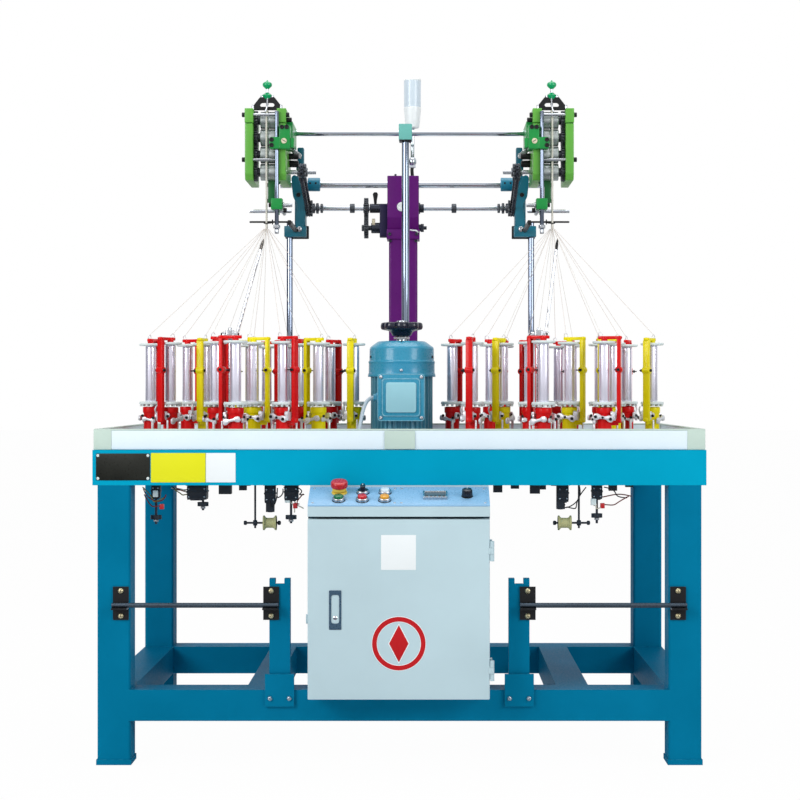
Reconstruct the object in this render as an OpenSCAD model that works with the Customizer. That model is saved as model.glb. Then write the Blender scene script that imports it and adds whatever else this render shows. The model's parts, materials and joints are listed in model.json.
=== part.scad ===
// Two-head maypole braiding machine on a welded stand.
// Origin on the floor, in the middle of the whole machine. X runs right, Y runs back, Z runs up.

/* [Stand] */
// Width over the table's outer faces
table_w = 1480; // [1440:10:1600]
// Depth of the stand and the table
stand_d = 838; // [820:2:900]
// Side of the square leg tube
leg_s = 80; // [60:5:90]
// How far a leg stands in from the table's end
leg_inset = 11.3; // [5:0.1:20]
// Height of the table's underside
table_z = 674; // [660:2:760]
// Height of the table's rim
rim_h = 85; // [80:1:100]
// Thickness of the table's rim
rim_t = 36; // [24:1:40]
// Height of the bottom rails above the floor
rail_z = 106; // [90:1:140]
// Height of the bottom rails
rail_h = 75; // [60:1:90]
// Corner radius of the tubes
tube_r = 7; // [3:0.5:12]

/* [Heads] */
// Pitch of the horn gears, which is twice their pitch radius
horn_pitch = 150; // [148:0.5:151]
// Teeth of one horn gear
horn_teeth = 40; // [40:8:40]
// Teeth of the main drive gear
main_teeth = 66; // [66:2:66]
// Face width of the gears
gear_t = 16; // [12:1:18]
// Width of the tracks in the deck
track_w = 14; // [13.5:0.5:16]
// Diameter of a carrier's drive pin
pin_d = 12; // [8:0.5:12.5]
// Thickness of the deck
deck_t = 10; // [8:0.5:12]

/* [Carriers] */
// Height of a carrier above the deck
carrier_h = 272; // [260:1:290]
// Diameter of the bobbin flanges
bobbin_d = 60; // [50:1:62]
// Diameter of the bobbin barrel
barrel_d = 27; // [20:1:34]
// Diameter of the carrier's lower housing
housing_d = 39; // [34:1:44]

/* [Cabinet] */
// Width of the control cabinet
cab_w = 430; // [400:5:480]
// How far the cabinet stands forward of the stand
cab_fwd = 100; // [80:5:120]
// Depth of the cabinet
cab_d = 330; // [300:5:360]
// Height of the cabinet's underside in front of the rail
cab_z = 174; // [150:1:180]
// Height of the cabinet's front edge
cab_top = 629; // [615:1:635]
// Sheet thickness
sheet_t = 3; // [2:0.5:4]
// Thickness of the door pan
door_t = 20; // [15:1:25]

/* [Motor] */
// Diameter of the motor's fan cover
motor_d = 177; // [160:1:180]
// Height of the motor above the deck
motor_h = 264; // [240:1:275]
// Diameter of the handwheel
wheel_d = 113; // [90:1:130]
// Diameter of the main spindle
spindle_d = 28; // [22:1:32]

/* [Take-up] */
// Middle of the two take-up units, measured from the machine's middle
takeup_mid = 20; // [0:1:30]
// Half the distance between the two take-up units
takeup_half = 379; // [370:1:390]
// Diameter of the take-up rollers
roller_d = 45; // [40:0.5:45]
// Distance between the roller axles
roller_pitch = 46; // [46:0.5:50]
// Height of the bottom roller's axle
roller_z = 1485; // [1470:1:1500]
// Diameter of the main cross bar
bar_d = 20; // [16:1:24]
// Side of the column tube
column_s = 80; // [70:1:84]
// Height of the column's top
column_top = 1503; // [1490:1:1520]
// Height of the whole machine, at the top of the lamp
lamp_top = 1777; // [1740:1:1800]
// Diameter of the lamp
lamp_d = 48; // [40:1:56]

/* [Hidden] */
$fn = 48;
over = 1;
fit = 0.05;
gap = 0.4;
gears = 8;
quarter = 90;
full = 360;

// Places that the whole machine shares
hinge_d = 10;
hinge_set = 2;
foot_proud = 2;
front_y = (cab_fwd + hinge_d / 2 - hinge_set - stand_d - foot_proud) / 2;
mid_y = front_y + stand_d / 2;
back_y = front_y + stand_d;
leg_w = table_w - 2 * leg_inset;
rim_top = table_z + rim_h;
deck_top = rim_top + deck_t;
foot_t = 13;
rail_top = rail_z + rail_h;

// Rails that join the front and the back, and the two front posts
cross_x = [-337, 421.5];
cross_w = [70, 79];
post_x = 288.5;
post_w = 50;
post_t = 26;
post_foot_w = 70;
post_foot_h = 39;
post_foot_t = 8;
post_top = 437;
ear_w = 14;
ear_h = 12;
screw_d = 10;
screw_h = 4;

// Guard rods with their brackets
guard_d = 12;
guard_z = 387;
bracket_w = 38;
bracket_h = 80;
bracket_t = 4;
bracket_z = 350;
shelf_d = 30;
guard_x = [309, 671];

// Gear train
gear_m = horn_pitch / horn_teeth;
ring_r = horn_pitch / 2 / sin(full / gears / 2);
main_r = gear_m * main_teeth / 2;
head_x = main_r + horn_pitch / 2 + ring_r;
bed_t = 16;
bed_top = table_z + bed_t;
gear_lift = 22;
gear_z = bed_top + gear_lift;
hub_h = 12;
horn_t = 10;
horn_z = gear_z + gear_t + hub_h;
stud_d = 22;
boss_d = 42;
hub_d = 46;
nut_d = 34;
nut_h = 12;
cap_d = 60;
cap_h = 26;
star_post_d = 30;
addendum_share = 0.78;
dedendum_share = 1.05;
tooth_root_share = 0.6;
tooth_tip_share = 0.24;
notch_gap = 0.5;

// Carrier, measured from the deck and from its own axis
shoe_h = 4;
shoe_w = 30;
shoe_l = 46;
housing_h = 96;
flange_t = 8;
core_gap = 0.3;
bobbin_z = 97;
bobbin_h = 163;
ratchet_h = 5;
post_off = 37;
mast_w = 11.5;
mast_d = 14;
arm_h = 10;
arm_z = carrier_h - arm_h;
lever_t = 5;
lever_l = 34;
lever_z = 54;
lever_h = 20;
eye_d = 9;
eye_wire = 2;
ear_z = 186;
ear_r = 9;
pivot_d = 7;
slot_turn = [168, 150];
yellow_left = [1, 4, 6, 9, 12, 15];
yellow_right = [2, 5, 8, 11, 14];

// Tray round the deck
wall_t = 8;
wall_h = 51;
wall_inset = 2.5;
lip_w = 14;
lip_t = 3;
corner_w = 43;
corner_t = 2.2;

// Table fittings below the bed
hung_y = front_y + leg_s;
drop_gap = 0.4;
spindle_x = [-598, -483, -267, 483];
spindle_drop = [99, 65, 97, 97];
spindle_knob_drop = [82, 50, 82, 78];
block_x = [-598, -496, -266, 483, -318, 400];
block_w = [20, 46, 32, 24, 25, 25];
block_drop = [35, 38, 40, 37, 47, 44];
stop_x = [-318, 394];
stop_w = 20;
stop_drop = [69, 62];
nut_x = [-428, -385, 240, 282, 331, 351, 522, 562];
nut_w = [30, 18, 22, 20, 24, 14, 20, 18];
nut_drop = [25, 16, 21, 12, 24, 14, 17, 8];
spool_rod_x = [-355, 439];
spool_x = [-319, 404];
spool_rod_drop = 109;
spool_drop = 96;
spool_pin_l = 82;
spool_d = 36;
spool_core_d = 24;
spool_l = 33;
spool_rim_t = 4;
spool_rod_d = 5;
screw_spindle_d = 6;
cross_knob_d = 27;
cross_knob_h = 10;

// Cabinet, door and panel
cab_front = front_y - cab_fwd;
cab_back = cab_front + cab_d;
lip_h = 24;
door_clear = 6;
door_top = cab_top - lip_h - door_clear;
door_gap = 1;
panel_run = cab_fwd;
panel_back_z = 667;
panel_t = 4;
slope = atan((panel_back_z - cab_top) / panel_run);
hinge_pin_d = 5;
hinge_h = 48;
hinge_z = [[218], [500]];
hinge_x = cab_w / 2 + hinge_d / 2;
hinge_y = cab_front + hinge_set;
leaf_t = 2.4;
leaf_l = 48;
latch_x = -150;
latch_z = 385;
latch_w = 28;
latch_h = 91;
lever_w = 18;
paddle_h = 62;
paddle_t = 3;
latch_pin_d = 4;
ring_d = 125;
ring_w = 11;
ring_z = 306;
gland_d = 22;
gland_l = 6;
gland_z = 359;

// Controls on the panel: x, then the way up the slope
row_front = 26;
row_back = 70;
control_x = [-143, -87, -34];
estop_d = 38;
estop_h = 16;
estop_neck = 8;
collar_d = 52;
bezel_d = 29;
bezel_h = 5;
button_d = 22;
button_h = 7;
button_travel = 4;
estop_travel = 5;
stem_d = 12;
speed_x = 162;
speed_way = 50;
knob_d = 26;
knob_h = 16;
display_x = 86;
display_w = 56;
display_d = 40;
display_h = 9;
plate_screw_d = 6;
plate_screw_h = 2;

// Motor
flange_d = 200;
motor_flange_t = 14;
frame_d = 150;
fan_h = 91;
fan_step = 7;
fin_n = 24;
fin_t = 3;
box_w = 121;
box_h = 121;
box_d = 52;
box_root = 36;
box_z = 178;
lid_w = 84;
lid_t = 8;
wheel_lift = 27;
wheel_z = deck_top + motor_h + wheel_lift;
wheel_h = 29;
wheel_hub_d = 44;
wheel_hub_h = 18;
lobe_d = 24;
lobes = 8;
web_t = 14;

// Column with its head
column_back = 760;
column_y = front_y + column_back;
head_w = 88;
head_d = 116;
head_z = 1386;
neck_z = 1327;
neck_w = 92;
base_w = 130;
base_t = 14;
cover_d = 24;
cover_t = 5;
bar_back = 748;
bar_y = front_y + bar_back;
bar_z = 1483;
shaft_d = 14;
shaft_z = 1416;
sleeve_d = 26;
sleeve_l = 50;
change_x = -104;
change_t = 12;
change_m = 2.3;
change_teeth = 24;
change_drop = change_m * change_teeth;
bracket_l = 22;
collar_l = 14;

// Bars, posts and clamps
stay_back = 700;
stay_y = front_y + stay_back;
stay_d = 17;
stay_x = [-316, 357];
upper_back = 600;
upper_y = front_y + upper_back;
upper_z = 1607;
upper_d = 16;
mast_x = 8;
centre_d = 20;
cube_s = 36;
cube_h = 43;
cube_drop = 22.5;
hub_l = 34;
collar_hub_d = 38;
arm_t = 26;
arm_w = 30;
foot_z = 1329;
foot_h = 31;
foot_w = 62;

// Take-up unit, measured from the line of the braid; u grows towards the machine's middle
unit_x = [takeup_mid - takeup_half, takeup_mid + takeup_half];
roller_back = 474;
roller_y = front_y + roller_back;
roller_l = 46;
roller_gear_t = 10;
roller_gear_teeth = 20;
roller_axle_d = 12;
braid_d = 6;
ring_y = roller_y - roller_d / 2 - braid_d / 2 - gap;
side_t = 21;
side_front = 42;
side_d = 190;
side_drop = 25;
side_z = roller_z - side_drop;
side_h = 190;
side_out = -56;
side_in = 29;
in_t = 23;
cross_bar_d = 10;
cross_bar_z = [54.3, 173];
cross_bar_y = ring_y - braid_d / 2 - cross_bar_d / 2 - gap;
post_rod_d = 11;
post_rod_z = 1329;
post_rod_top = 1641;
post_rod_u = 29;
rod_nut_d = 17;
stub_u = 130;
chain_u = 90;
sprocket_d = 40;
sprocket_t = 8;
chain_w = 8;
chain_t = 5;
clamp_w = 28;
clamp_h = 64;
clamp_u = 40;
clamp_cube = 31;
clamp_cube_z = 1395;
rod_z = 1379;
guide_rod_d = 9;
guide_y = ring_y + (braid_d + guide_rod_d) / 2 + gap;
guide_z = 1351;
thin_rod_d = 5;
yoke_w = 74;
yoke_h = 36;
yoke_t = 12;
yoke_z = side_z + side_h;
knob_r = 15;
knob_rise = [40, 74];
knob_flat_share = 0.6;
tension_d = 7;
rod_end_d = 10;

// Braids and yarns
fell_z = 1338;
fell_r = 8;
yarn_d = 1.4;
stand_off = [-58, -34];
pin_rod_d = 9;
pin_rod_h = 300;
clamp_l = 40;

// Lamp
lamp_x = 26;
lamp_back = 735;
lamp_y = front_y + lamp_back;
lens_h = 80;
lamp_h = 137;
lamp_foot_d = 37.5;
stem_rod_d = 11;
ball_d = 22;
ball_z = 1546;
hose_d = 12;

// Helpers
module slab(w, d, h) {
    translate([-w / 2, -d / 2, 0]) cube([w, d, h]);
}

module zrod(d, h) {
    cylinder(d = d, h = h);
}

module xrod(d, l) {
    rotate([0, quarter, 0]) cylinder(d = d, h = l);
}

module yrod(d, l) {
    rotate([-quarter, 0, 0]) cylinder(d = d, h = l);
}

module round_rect(w, d, r) {
    square([w - 2 * r, d], center = true);
    square([w, d - 2 * r], center = true);
    for (x = [-1, 1], y = [-1, 1]) translate([x * (w / 2 - r), y * (d / 2 - r)]) circle(r = r);
}

module round_bar(w, d, h, r) {
    linear_extrude(h) round_rect(w, d, r);
}

module hex(d, h) {
    cylinder(d = d, h = h, $fn = 6);
}

// Outline of a spur gear: straight-sided teeth with room at the flanks
function tooth(m, z, i) =
    let (
        r = m * z / 2,
        step = full / z,
        a = i * step,
        root = tooth_root_share * step / 2,
        tip = tooth_tip_share * step / 2,
        low = r - dedendum_share * m,
        high = r + addendum_share * m
    )
    [
        [low * cos(a - root), low * sin(a - root)],
        [high * cos(a - tip), high * sin(a - tip)],
        [high * cos(a + tip), high * sin(a + tip)],
        [low * cos(a + root), low * sin(a + root)]
    ];

function gear_points(m, z) = [for (i = [0:z - 1], p = tooth(m, z, i)) p];

module gear(m, z, t) {
    linear_extrude(t) polygon(gear_points(m, z));
}

// Places the children at the middle of each head, the second turned half a turn
module at_head(s) {
    translate([0, mid_y, 0]) rotate([0, 0, s * full / 2]) translate([-head_x, 0, 0]) children();
}

module at_gear(i) {
    rotate([0, 0, i * full / gears]) translate([ring_r, 0, 0]) children();
}

// Turn of a gear's teeth so that neighbours mesh: even gears carry a tooth towards their neighbours
function tooth_turn(i) = i % 2 == 0 ? full / gears * 2.5 : full / gears * 2.5 + full / horn_teeth / 2;

module horn_gear(s, i) {
    color([0.62, 0.64, 0.66])
    at_head(s) at_gear(i) difference() {
        union() {
            translate([0, 0, gear_z]) rotate([0, 0, tooth_turn(i)]) gear(gear_m, horn_teeth, gear_t);
            translate([0, 0, gear_z]) zrod(hub_d, gear_t + hub_h);
            difference() {
                translate([0, 0, horn_z]) zrod(horn_pitch - 4 * gap, horn_t);
                for (a = [0:3]) rotate([0, 0, horn_turn(s, i) + a * quarter])
                    translate([horn_pitch / 2, 0, horn_z - over])
                        zrod(pin_d + 2 * notch_gap, horn_t + 2 * over);
            }
        }
        translate([0, 0, gear_z - over]) zrod(stud_d + 2 * fit, gear_t + hub_h + horn_t + 2 * over);
    }
}

// One bobbin carrier, standing on the deck at its own axis, its mast on the outer side
module bobbin() {
    difference() {
        union() {
            zrod(bobbin_d, flange_t);
            translate([0, 0, flange_t]) zrod(barrel_d, bobbin_h - 2 * flange_t);
            translate([0, 0, bobbin_h - flange_t]) zrod(bobbin_d, flange_t);
            for (a = [0:30:330]) rotate([0, 0, a]) translate([bobbin_d / 2 - ratchet_h, 0, -ratchet_h])
                slab(ratchet_h, ratchet_h, ratchet_h);
        }
        translate([0, 0, -ratchet_h - over]) zrod(pivot_d + 2 * fit, bobbin_h + ratchet_h + 2 * over);
    }
}

module carrier_body() {
    translate([0, 0, horn_z - deck_top]) zrod(pin_d, deck_top - horn_z);
    translate([0, 0, gap]) round_bar(shoe_l, shoe_w, shoe_h - gap, shoe_w / 3);
    translate([0, 0, shoe_h]) zrod(housing_d, housing_h - shoe_h - ratchet_h - core_gap);
    translate([0, 0, lever_z]) translate([housing_d / 2, 0, 0]) slab(lever_l, lever_t, lever_h);
    translate([post_off, 0, shoe_h + housing_h / 2]) slab(mast_w, mast_d, arm_z - housing_h / 2);
    translate([0, 0, housing_h / 2 + shoe_h]) translate([post_off / 2, 0, 0])
        slab(post_off, mast_d, arm_h);
    translate([post_off, -mast_d / 2 - ear_r / 2, ear_z]) yrod(2 * ear_r, mast_d + ear_r);
    translate([-bobbin_d / 3, -mast_d / 2, arm_z]) cube([post_off + bobbin_d / 3, mast_d, arm_h]);
    translate([0, 0, housing_h - ratchet_h - core_gap])
        zrod(pivot_d, arm_z - housing_h + ratchet_h + core_gap);
    translate([-bobbin_d / 6, 0, carrier_h]) rotate([quarter, 0, 0]) rotate_extrude()
        translate([eye_d / 2, 0]) circle(d = eye_wire);
}

module carrier() {
    carrier_body();
    translate([0, 0, bobbin_z]) bobbin();
}

// Turn of the horn gear's slots, even gears a quarter apart from odd ones, and the side that trails
function horn_turn(s, i) = i % 2 == 0 ? slot_turn[s] : quarter - slot_turn[s];

function trail(i) = i % 2 == 0 ? -quarter : quarter;

function is_yellow(s, n) = len(search(n, s == 0 ? yellow_left : yellow_right)) > 0;

module carriers(s, i) {
    at_head(s) at_gear(i) for (k = [0, 1]) rotate([0, 0, horn_turn(s, i) + k * full / 2])
        translate([horn_pitch / 2, 0, deck_top])
        rotate([0, 0, trail(i)])
            color(is_yellow(s, 2 * i + k) ? [0.93, 0.88, 0.05] : [0.86, 0.1, 0.1]) carrier();
}

// Stand: legs, rails, cross rails, feet and the front posts, welded into one
module leg(x, y) {
    translate([x, y, foot_t]) round_bar(leg_s, leg_s, table_z - foot_t, tube_r);
    translate([x, y, 0]) slab(leg_s + 2 * foot_proud, leg_s + 2 * foot_proud, foot_t);
}

module front_post(x) {
    translate([x, front_y - post_foot_t / 2, rail_top - post_foot_h])
        slab(post_foot_w, post_foot_t, 2 * post_foot_h);
    difference() {
        translate([x, front_y + post_t / 2, rail_top]) slab(post_w, post_t, post_top - rail_top);
        translate([x, front_y + post_t / 2 + post_foot_t, rail_top + post_foot_h + post_foot_t])
            slab(post_w - 2 * post_foot_t, post_t, post_top);
    }
    for (side = [-1, 1]) translate([x + side * (post_w - ear_w) / 2, front_y + post_t / 2, post_top])
        slab(ear_w, post_t, ear_h);
    for (side = [-1, 1])
        translate([x + side * post_foot_w / 3, front_y - post_foot_t - screw_h,
            rail_top - post_foot_h / 2])
        yrod(screw_d, screw_h);
}

module stand_frame() {
    color([0, 0.46, 0.64]) {
        for (x = [-1, 1], y = [front_y + leg_s / 2, back_y - leg_s / 2]) leg(x * (leg_w - leg_s) / 2, y);
        for (y = [front_y + leg_s / 2, back_y - leg_s / 2])
            translate([-leg_w / 2 + leg_s - tube_r, y - leg_s / 2, rail_z])
            cube([leg_w - 2 * leg_s + 2 * tube_r, leg_s, rail_h]);
        for (x = [-1, 1])
            translate([x * (leg_w - leg_s) / 2 - leg_s / 2, front_y + leg_s - tube_r, rail_z])
            cube([leg_s, stand_d - 2 * leg_s + 2 * tube_r, rail_h]);
        for (k = [0, 1]) translate([cross_x[k] - cross_w[k] / 2, front_y + leg_s - over, rail_z])
            cube([cross_w[k], stand_d - 2 * leg_s + 2 * over, rail_h]);
        for (side = [-1, 1]) front_post(side * post_x);
    }
}

// Table bed: the rim, the bed plate, the gear studs and what hangs below
module rim() {
    translate([-table_w / 2, front_y, table_z]) difference() {
        cube([table_w, stand_d, rim_h]);
        translate([rim_t, rim_t, bed_t]) cube([table_w - 2 * rim_t, stand_d - 2 * rim_t, rim_h]);
        translate([table_w / 2, stand_d / 2, -over]) zrod(spindle_d + 2 * fit, bed_t + 2 * over);
    }
}

module gear_stud() {
    translate([0, 0, bed_top + drop_gap]) zrod(boss_d, gear_z - bed_top - gap - drop_gap);
    translate([0, 0, bed_top + drop_gap]) zrod(stud_d, deck_top - deck_t - bed_top - 2 * drop_gap);
    translate([0, 0, table_z - nut_h]) hex(nut_d, nut_h - drop_gap);
}

module hung(w, drop) {
    translate([0, 0, table_z - drop]) slab(w, w, drop - drop_gap);
}

module hung_spindle(k) {
    translate([spindle_x[k], hung_y, table_z - spindle_drop[k]])
        zrod(screw_spindle_d, spindle_drop[k] - block_drop[k] + over);
    translate([spindle_x[k], hung_y, table_z - spindle_knob_drop[k] - cross_knob_h / 2])
        zrod(cross_knob_d, cross_knob_h);
}

module hung_spool(k) {
    translate([spool_rod_x[k], hung_y, table_z - spool_rod_drop])
        zrod(spool_rod_d, spool_rod_drop - drop_gap);
    middle = (spool_rod_x[k] + spool_x[k]) / 2;
    translate([middle - spool_pin_l / 2, hung_y, table_z - spool_drop]) xrod(spool_rod_d, spool_pin_l);
    translate([spool_x[k] - spool_l / 2, hung_y, table_z - spool_drop]) {
        xrod(spool_core_d, spool_l);
        for (x = [0, spool_l - spool_rim_t]) translate([x, 0, 0]) xrod(spool_d, spool_rim_t);
    }
}

module table_bed() {
    color([0, 0.62, 0.76]) {
        rim();
        for (s = [0, 1]) at_head(s) for (i = [0:gears - 1]) at_gear(i) gear_stud();
        for (s = [0, 1]) at_head(s) translate([0, 0, bed_top + drop_gap])
            zrod(star_post_d, deck_top - deck_t - bed_top - 2 * drop_gap);
    }
    color([0.12, 0.14, 0.16]) {
        for (k = [0:3]) hung_spindle(k);
        for (k = [0:5]) translate([block_x[k], hung_y, 0]) hung(block_w[k], block_drop[k]);
        for (k = [0, 1]) translate([stop_x[k], hung_y, 0]) hung(stop_w, stop_drop[k]);
        for (k = [0:7]) translate([nut_x[k], hung_y, 0]) hung(nut_w[k], nut_drop[k]);
        for (k = [0, 1]) hung_spool(k);
    }
}

// Deck with the tracks: a plate round each ring of tracks, a star inside it and a quoit over each gear
module track_deck() {
    inner = [table_w - 2 * wall_inset - 2 * wall_t, stand_d - 2 * wall_inset - 2 * wall_t];
    color([0.8, 0.82, 0.83]) translate([0, 0, rim_top]) {
        difference() {
            translate([0, mid_y, 0]) slab(inner[0] - 2 * gap, inner[1] - 2 * gap, deck_t);
            for (s = [0, 1]) at_head(s) for (i = [0:gears - 1]) at_gear(i)
                translate([0, 0, -over]) zrod(horn_pitch + track_w, deck_t + 2 * over);
            translate([0, mid_y, -over]) zrod(spindle_d + 2 * notch_gap, deck_t + 2 * over);
        }
        for (s = [0, 1]) at_head(s) for (i = [0:gears - 1]) at_gear(i) zrod(horn_pitch - track_w, deck_t);
    }
}

// Tray: four walls that stand on the rim round the deck, with corner pieces
module tray_walls() {
    w = table_w - 2 * wall_inset;
    d = stand_d - 2 * wall_inset;
    color([0.78, 0.84, 0.82]) translate([0, mid_y, rim_top]) {
        difference() {
            slab(w, d, wall_h);
            translate([0, 0, -over]) slab(w - 2 * wall_t, d - 2 * wall_t, wall_h + 2 * over);
        }
        difference() {
            translate([0, 0, wall_h - lip_t]) slab(w, d, lip_t);
            translate([0, 0, wall_h - lip_t - over]) slab(w - 2 * lip_w, d - 2 * lip_w, lip_t + 2 * over);
        }
        for (x = [-1, 1]) {
            translate([x * (w / 2 - corner_w / 2), -d / 2 - corner_t / 2, 0])
                slab(corner_w, corner_t, wall_h);
            translate([x * (w / 2 + corner_t / 2), -d / 2 + corner_w / 2, 0])
                slab(corner_t, corner_w, wall_h);
        }
    }
}

// Guard rods across the front, each held by two angle brackets
module guard_bracket(x) {
    y = front_y - bracket_t;
    translate([x - bracket_w / 2, y, bracket_z]) cube([bracket_w, bracket_t, bracket_h]);
    translate([x - bracket_w / 2, y - shelf_d, guard_z - guard_d / 2 - bracket_t])
        cube([bracket_w, shelf_d, bracket_t]);
    for (z = [screw_d, bracket_h - screw_d]) translate([x, y - screw_h, bracket_z + z])
        yrod(screw_d, screw_h);
}

module guard_rods() {
    color([0.1, 0.1, 0.11]) for (side = [-1, 1]) {
        for (x = guard_x) guard_bracket(side * x);
        translate([side > 0 ? guard_x[0] - bracket_w / 2 : -guard_x[1] - bracket_w / 2,
            front_y - bracket_t - shelf_d / 2, guard_z])
            xrod(guard_d, guard_x[1] - guard_x[0] + bracket_w);
    }
}

// Cabinet shell, open at the front where the door closes it
module cab_side() {
    polygon([
        [cab_front + door_t + door_gap, cab_z],
        [front_y - gap, cab_z],
        [front_y - gap, rail_top],
        [cab_back, rail_top],
        [cab_back, table_z],
        [cab_front + panel_run, table_z],
        [cab_front + panel_run, panel_back_z],
        [cab_front, cab_top],
        [cab_front, cab_top - lip_h],
        [cab_front + door_t + door_gap, cab_top - lip_h]
    ]);
}

module cab_room() {
    polygon([
        [cab_front + door_t + 2 * sheet_t, rail_top + sheet_t],
        [cab_back - sheet_t, rail_top + sheet_t],
        [cab_back - sheet_t, table_z - sheet_t],
        [cab_front + panel_run + sheet_t, table_z - sheet_t],
        [cab_front + panel_run + sheet_t, cab_top - lip_h],
        [cab_front + door_t + 2 * sheet_t, cab_top - lip_h]
    ]);
}

module cab_mouth() {
    polygon([
        [cab_front, rail_top + lip_h],
        [cab_front + 2 * door_t, rail_top + lip_h],
        [cab_front + 2 * door_t, cab_top - 2 * lip_h],
        [cab_front, cab_top - 2 * lip_h]
    ]);
}

module under_panel() {
    polygon([
        [cab_front + door_t / 2, cab_top - lip_h - over],
        [cab_front + panel_run - door_t, cab_top - lip_h - over],
        [cab_front + panel_run - door_t, table_z],
        [cab_front + door_t / 2, table_z]
    ]);
}

module across(w) {
    translate([-w / 2, 0, 0]) rotate([quarter, 0, quarter]) linear_extrude(w) children();
}

module cabinet_body() {
    color([0.72, 0.83, 0.87]) {
        difference() {
            across(cab_w) cab_side();
            across(cab_w - 2 * sheet_t) cab_room();
            across(cab_w - 2 * lip_h) cab_mouth();
            across(cab_w - 2 * door_t) under_panel();
        }
        for (z = hinge_z) translate([hinge_x, hinge_y, z[0]]) hinge_fixed();
        translate([-cab_w / 2 - gland_l, cab_front + door_t + gland_d, gland_z])
            xrod(gland_d, gland_l + over);
    }
}

module hinge_fixed() {
    third = hinge_h / 3;
    for (z = [0, 2 * third]) translate([0, 0, z]) difference() {
        union() {
            zrod(hinge_d, third - gap);
            translate([-leaf_t / 2, 0, 0]) cube([leaf_t, leaf_l, third - gap]);
        }
    }
    translate([-leaf_t / 2, door_t + 2 * door_gap + hinge_d / 2, 0])
        cube([leaf_t, leaf_l - door_t - 2 * door_gap - hinge_d / 2, hinge_h]);
    translate([-hinge_d / 2, door_t + 2 * door_gap + hinge_d / 2, 0])
        cube([hinge_d / 2, leaf_l - door_t - 2 * door_gap - hinge_d / 2, hinge_h]);
    zrod(hinge_pin_d, hinge_h - gap);
}

module door_knuckle() {
    third = hinge_h / 3;
    difference() {
        union() {
            zrod(hinge_d, third - gap);
            translate([-hinge_d - leaf_t, -hinge_d / 2 + leaf_t, 0])
                cube([hinge_d + leaf_t, leaf_t, third - gap]);
        }
        translate([0, 0, -over]) zrod(hinge_pin_d + 2 * fit, third + 2 * over);
    }
}

module cabinet_door() {
    h = door_top - cab_z;
    color([0.74, 0.84, 0.88]) {
        difference() {
            translate([-cab_w / 2, cab_front, cab_z]) cube([cab_w - door_gap, door_t, h]);
            translate([-cab_w / 2 + sheet_t, cab_front + sheet_t, cab_z + sheet_t])
                cube([cab_w - door_gap - 2 * sheet_t, door_t, h - 2 * sheet_t]);
            translate([latch_x - paddle_slot_w() / 2, cab_front - over, latch_z - paddle_h / 2 - gap])
                cube([paddle_slot_w(), sheet_t + 2 * over, paddle_h + latch_pin_d + 2 * gap]);
        }
        translate([latch_x, cab_front + sheet_t, latch_z]) latch_case();
        for (z = hinge_z) translate([hinge_x, hinge_y, z[0] + hinge_h / 3]) door_knuckle();
        translate([0, cab_front, ring_z]) door_ring();
    }
}

function paddle_slot_w() = lever_w + 2 * gap;

module latch_case() {
    difference() {
        translate([-latch_w / 2, 0, -latch_h / 2]) cube([latch_w, door_t - 2 * sheet_t, latch_h]);
        translate([-paddle_slot_w() / 2, -over, -paddle_h / 2 - gap])
            cube([paddle_slot_w(), door_t - 3 * sheet_t, paddle_h + latch_pin_d + 2 * gap]);
        translate([-latch_w / 2 - over, latch_pin_d / 2 + gap, paddle_h / 2])
            xrod(latch_pin_d + 2 * fit, latch_w + 2 * over);
    }
}

module door_ring() {
    rotate([quarter, 0, 0]) difference() {
        cylinder(d = ring_d, h = sheet_t / 3);
        translate([0, 0, -over]) cylinder(d = ring_d - 2 * ring_w, h = sheet_t + 2 * over);
    }
}

module door_latch() {
    color([0.75, 0.76, 0.78])
        translate([latch_x, cab_front + sheet_t + latch_pin_d / 2 + gap, latch_z + paddle_h / 2]) {
        translate([-lever_w / 2, -paddle_t / 2, -paddle_h]) cube([lever_w, paddle_t, paddle_h]);
        translate([-latch_w / 2, 0, 0]) xrod(latch_pin_d, latch_w);
    }
}

// Sloping panel with its bezels and display
module on_panel(x, way) {
    translate([x, cab_front, cab_top]) rotate([slope, 0, 0]) translate([0, way, panel_t]) children();
}

module control_panel() {
    span = panel_run / cos(slope);
    color([0.64, 0.8, 0.92]) difference() {
        translate([0, cab_front, cab_top]) rotate([slope, 0, 0]) {
            translate([-cab_w / 2, 0, 0]) cube([cab_w, span, panel_t]);
            for (x = control_x) translate([x, row_front, panel_t]) zrod(bezel_d, bezel_h);
            for (x = [control_x[1], control_x[2]]) translate([x, row_back, panel_t])
                zrod(bezel_d, bezel_h);
            translate([control_x[0], row_back, panel_t]) zrod(collar_d, bezel_h / 2);
            translate([control_x[2], row_back, panel_t + bezel_h]) zrod(button_d, button_h);
            translate([display_x, speed_way, panel_t]) slab(display_w, display_d, display_h);
            translate([speed_x, speed_way, panel_t]) zrod(bezel_d, bezel_h / 2);
            for (x = [-1, 1], y = [screw_d, span - screw_d])
                translate([x * (cab_w / 2 - screw_d), y, panel_t]) zrod(plate_screw_d, plate_screw_h);
        }
        for (x = control_x) on_panel(x, row_front) hole(bezel_h);
        on_panel(control_x[0], row_back) hole(bezel_h);
        on_panel(control_x[1], row_back) hole(bezel_h);
        on_panel(speed_x, speed_way) hole(bezel_h);
    }
}

module hole(h) {
    translate([0, 0, -panel_t - over]) zrod(stem_d + 2 * fit, h + panel_t + 2 * over);
}

module push_button(h, travel) {
    translate([0, 0, bezel_h + travel]) zrod(button_d, h);
    translate([0, 0, -panel_t - stem_d]) zrod(stem_d, bezel_h + travel + panel_t + stem_d);
}

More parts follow.
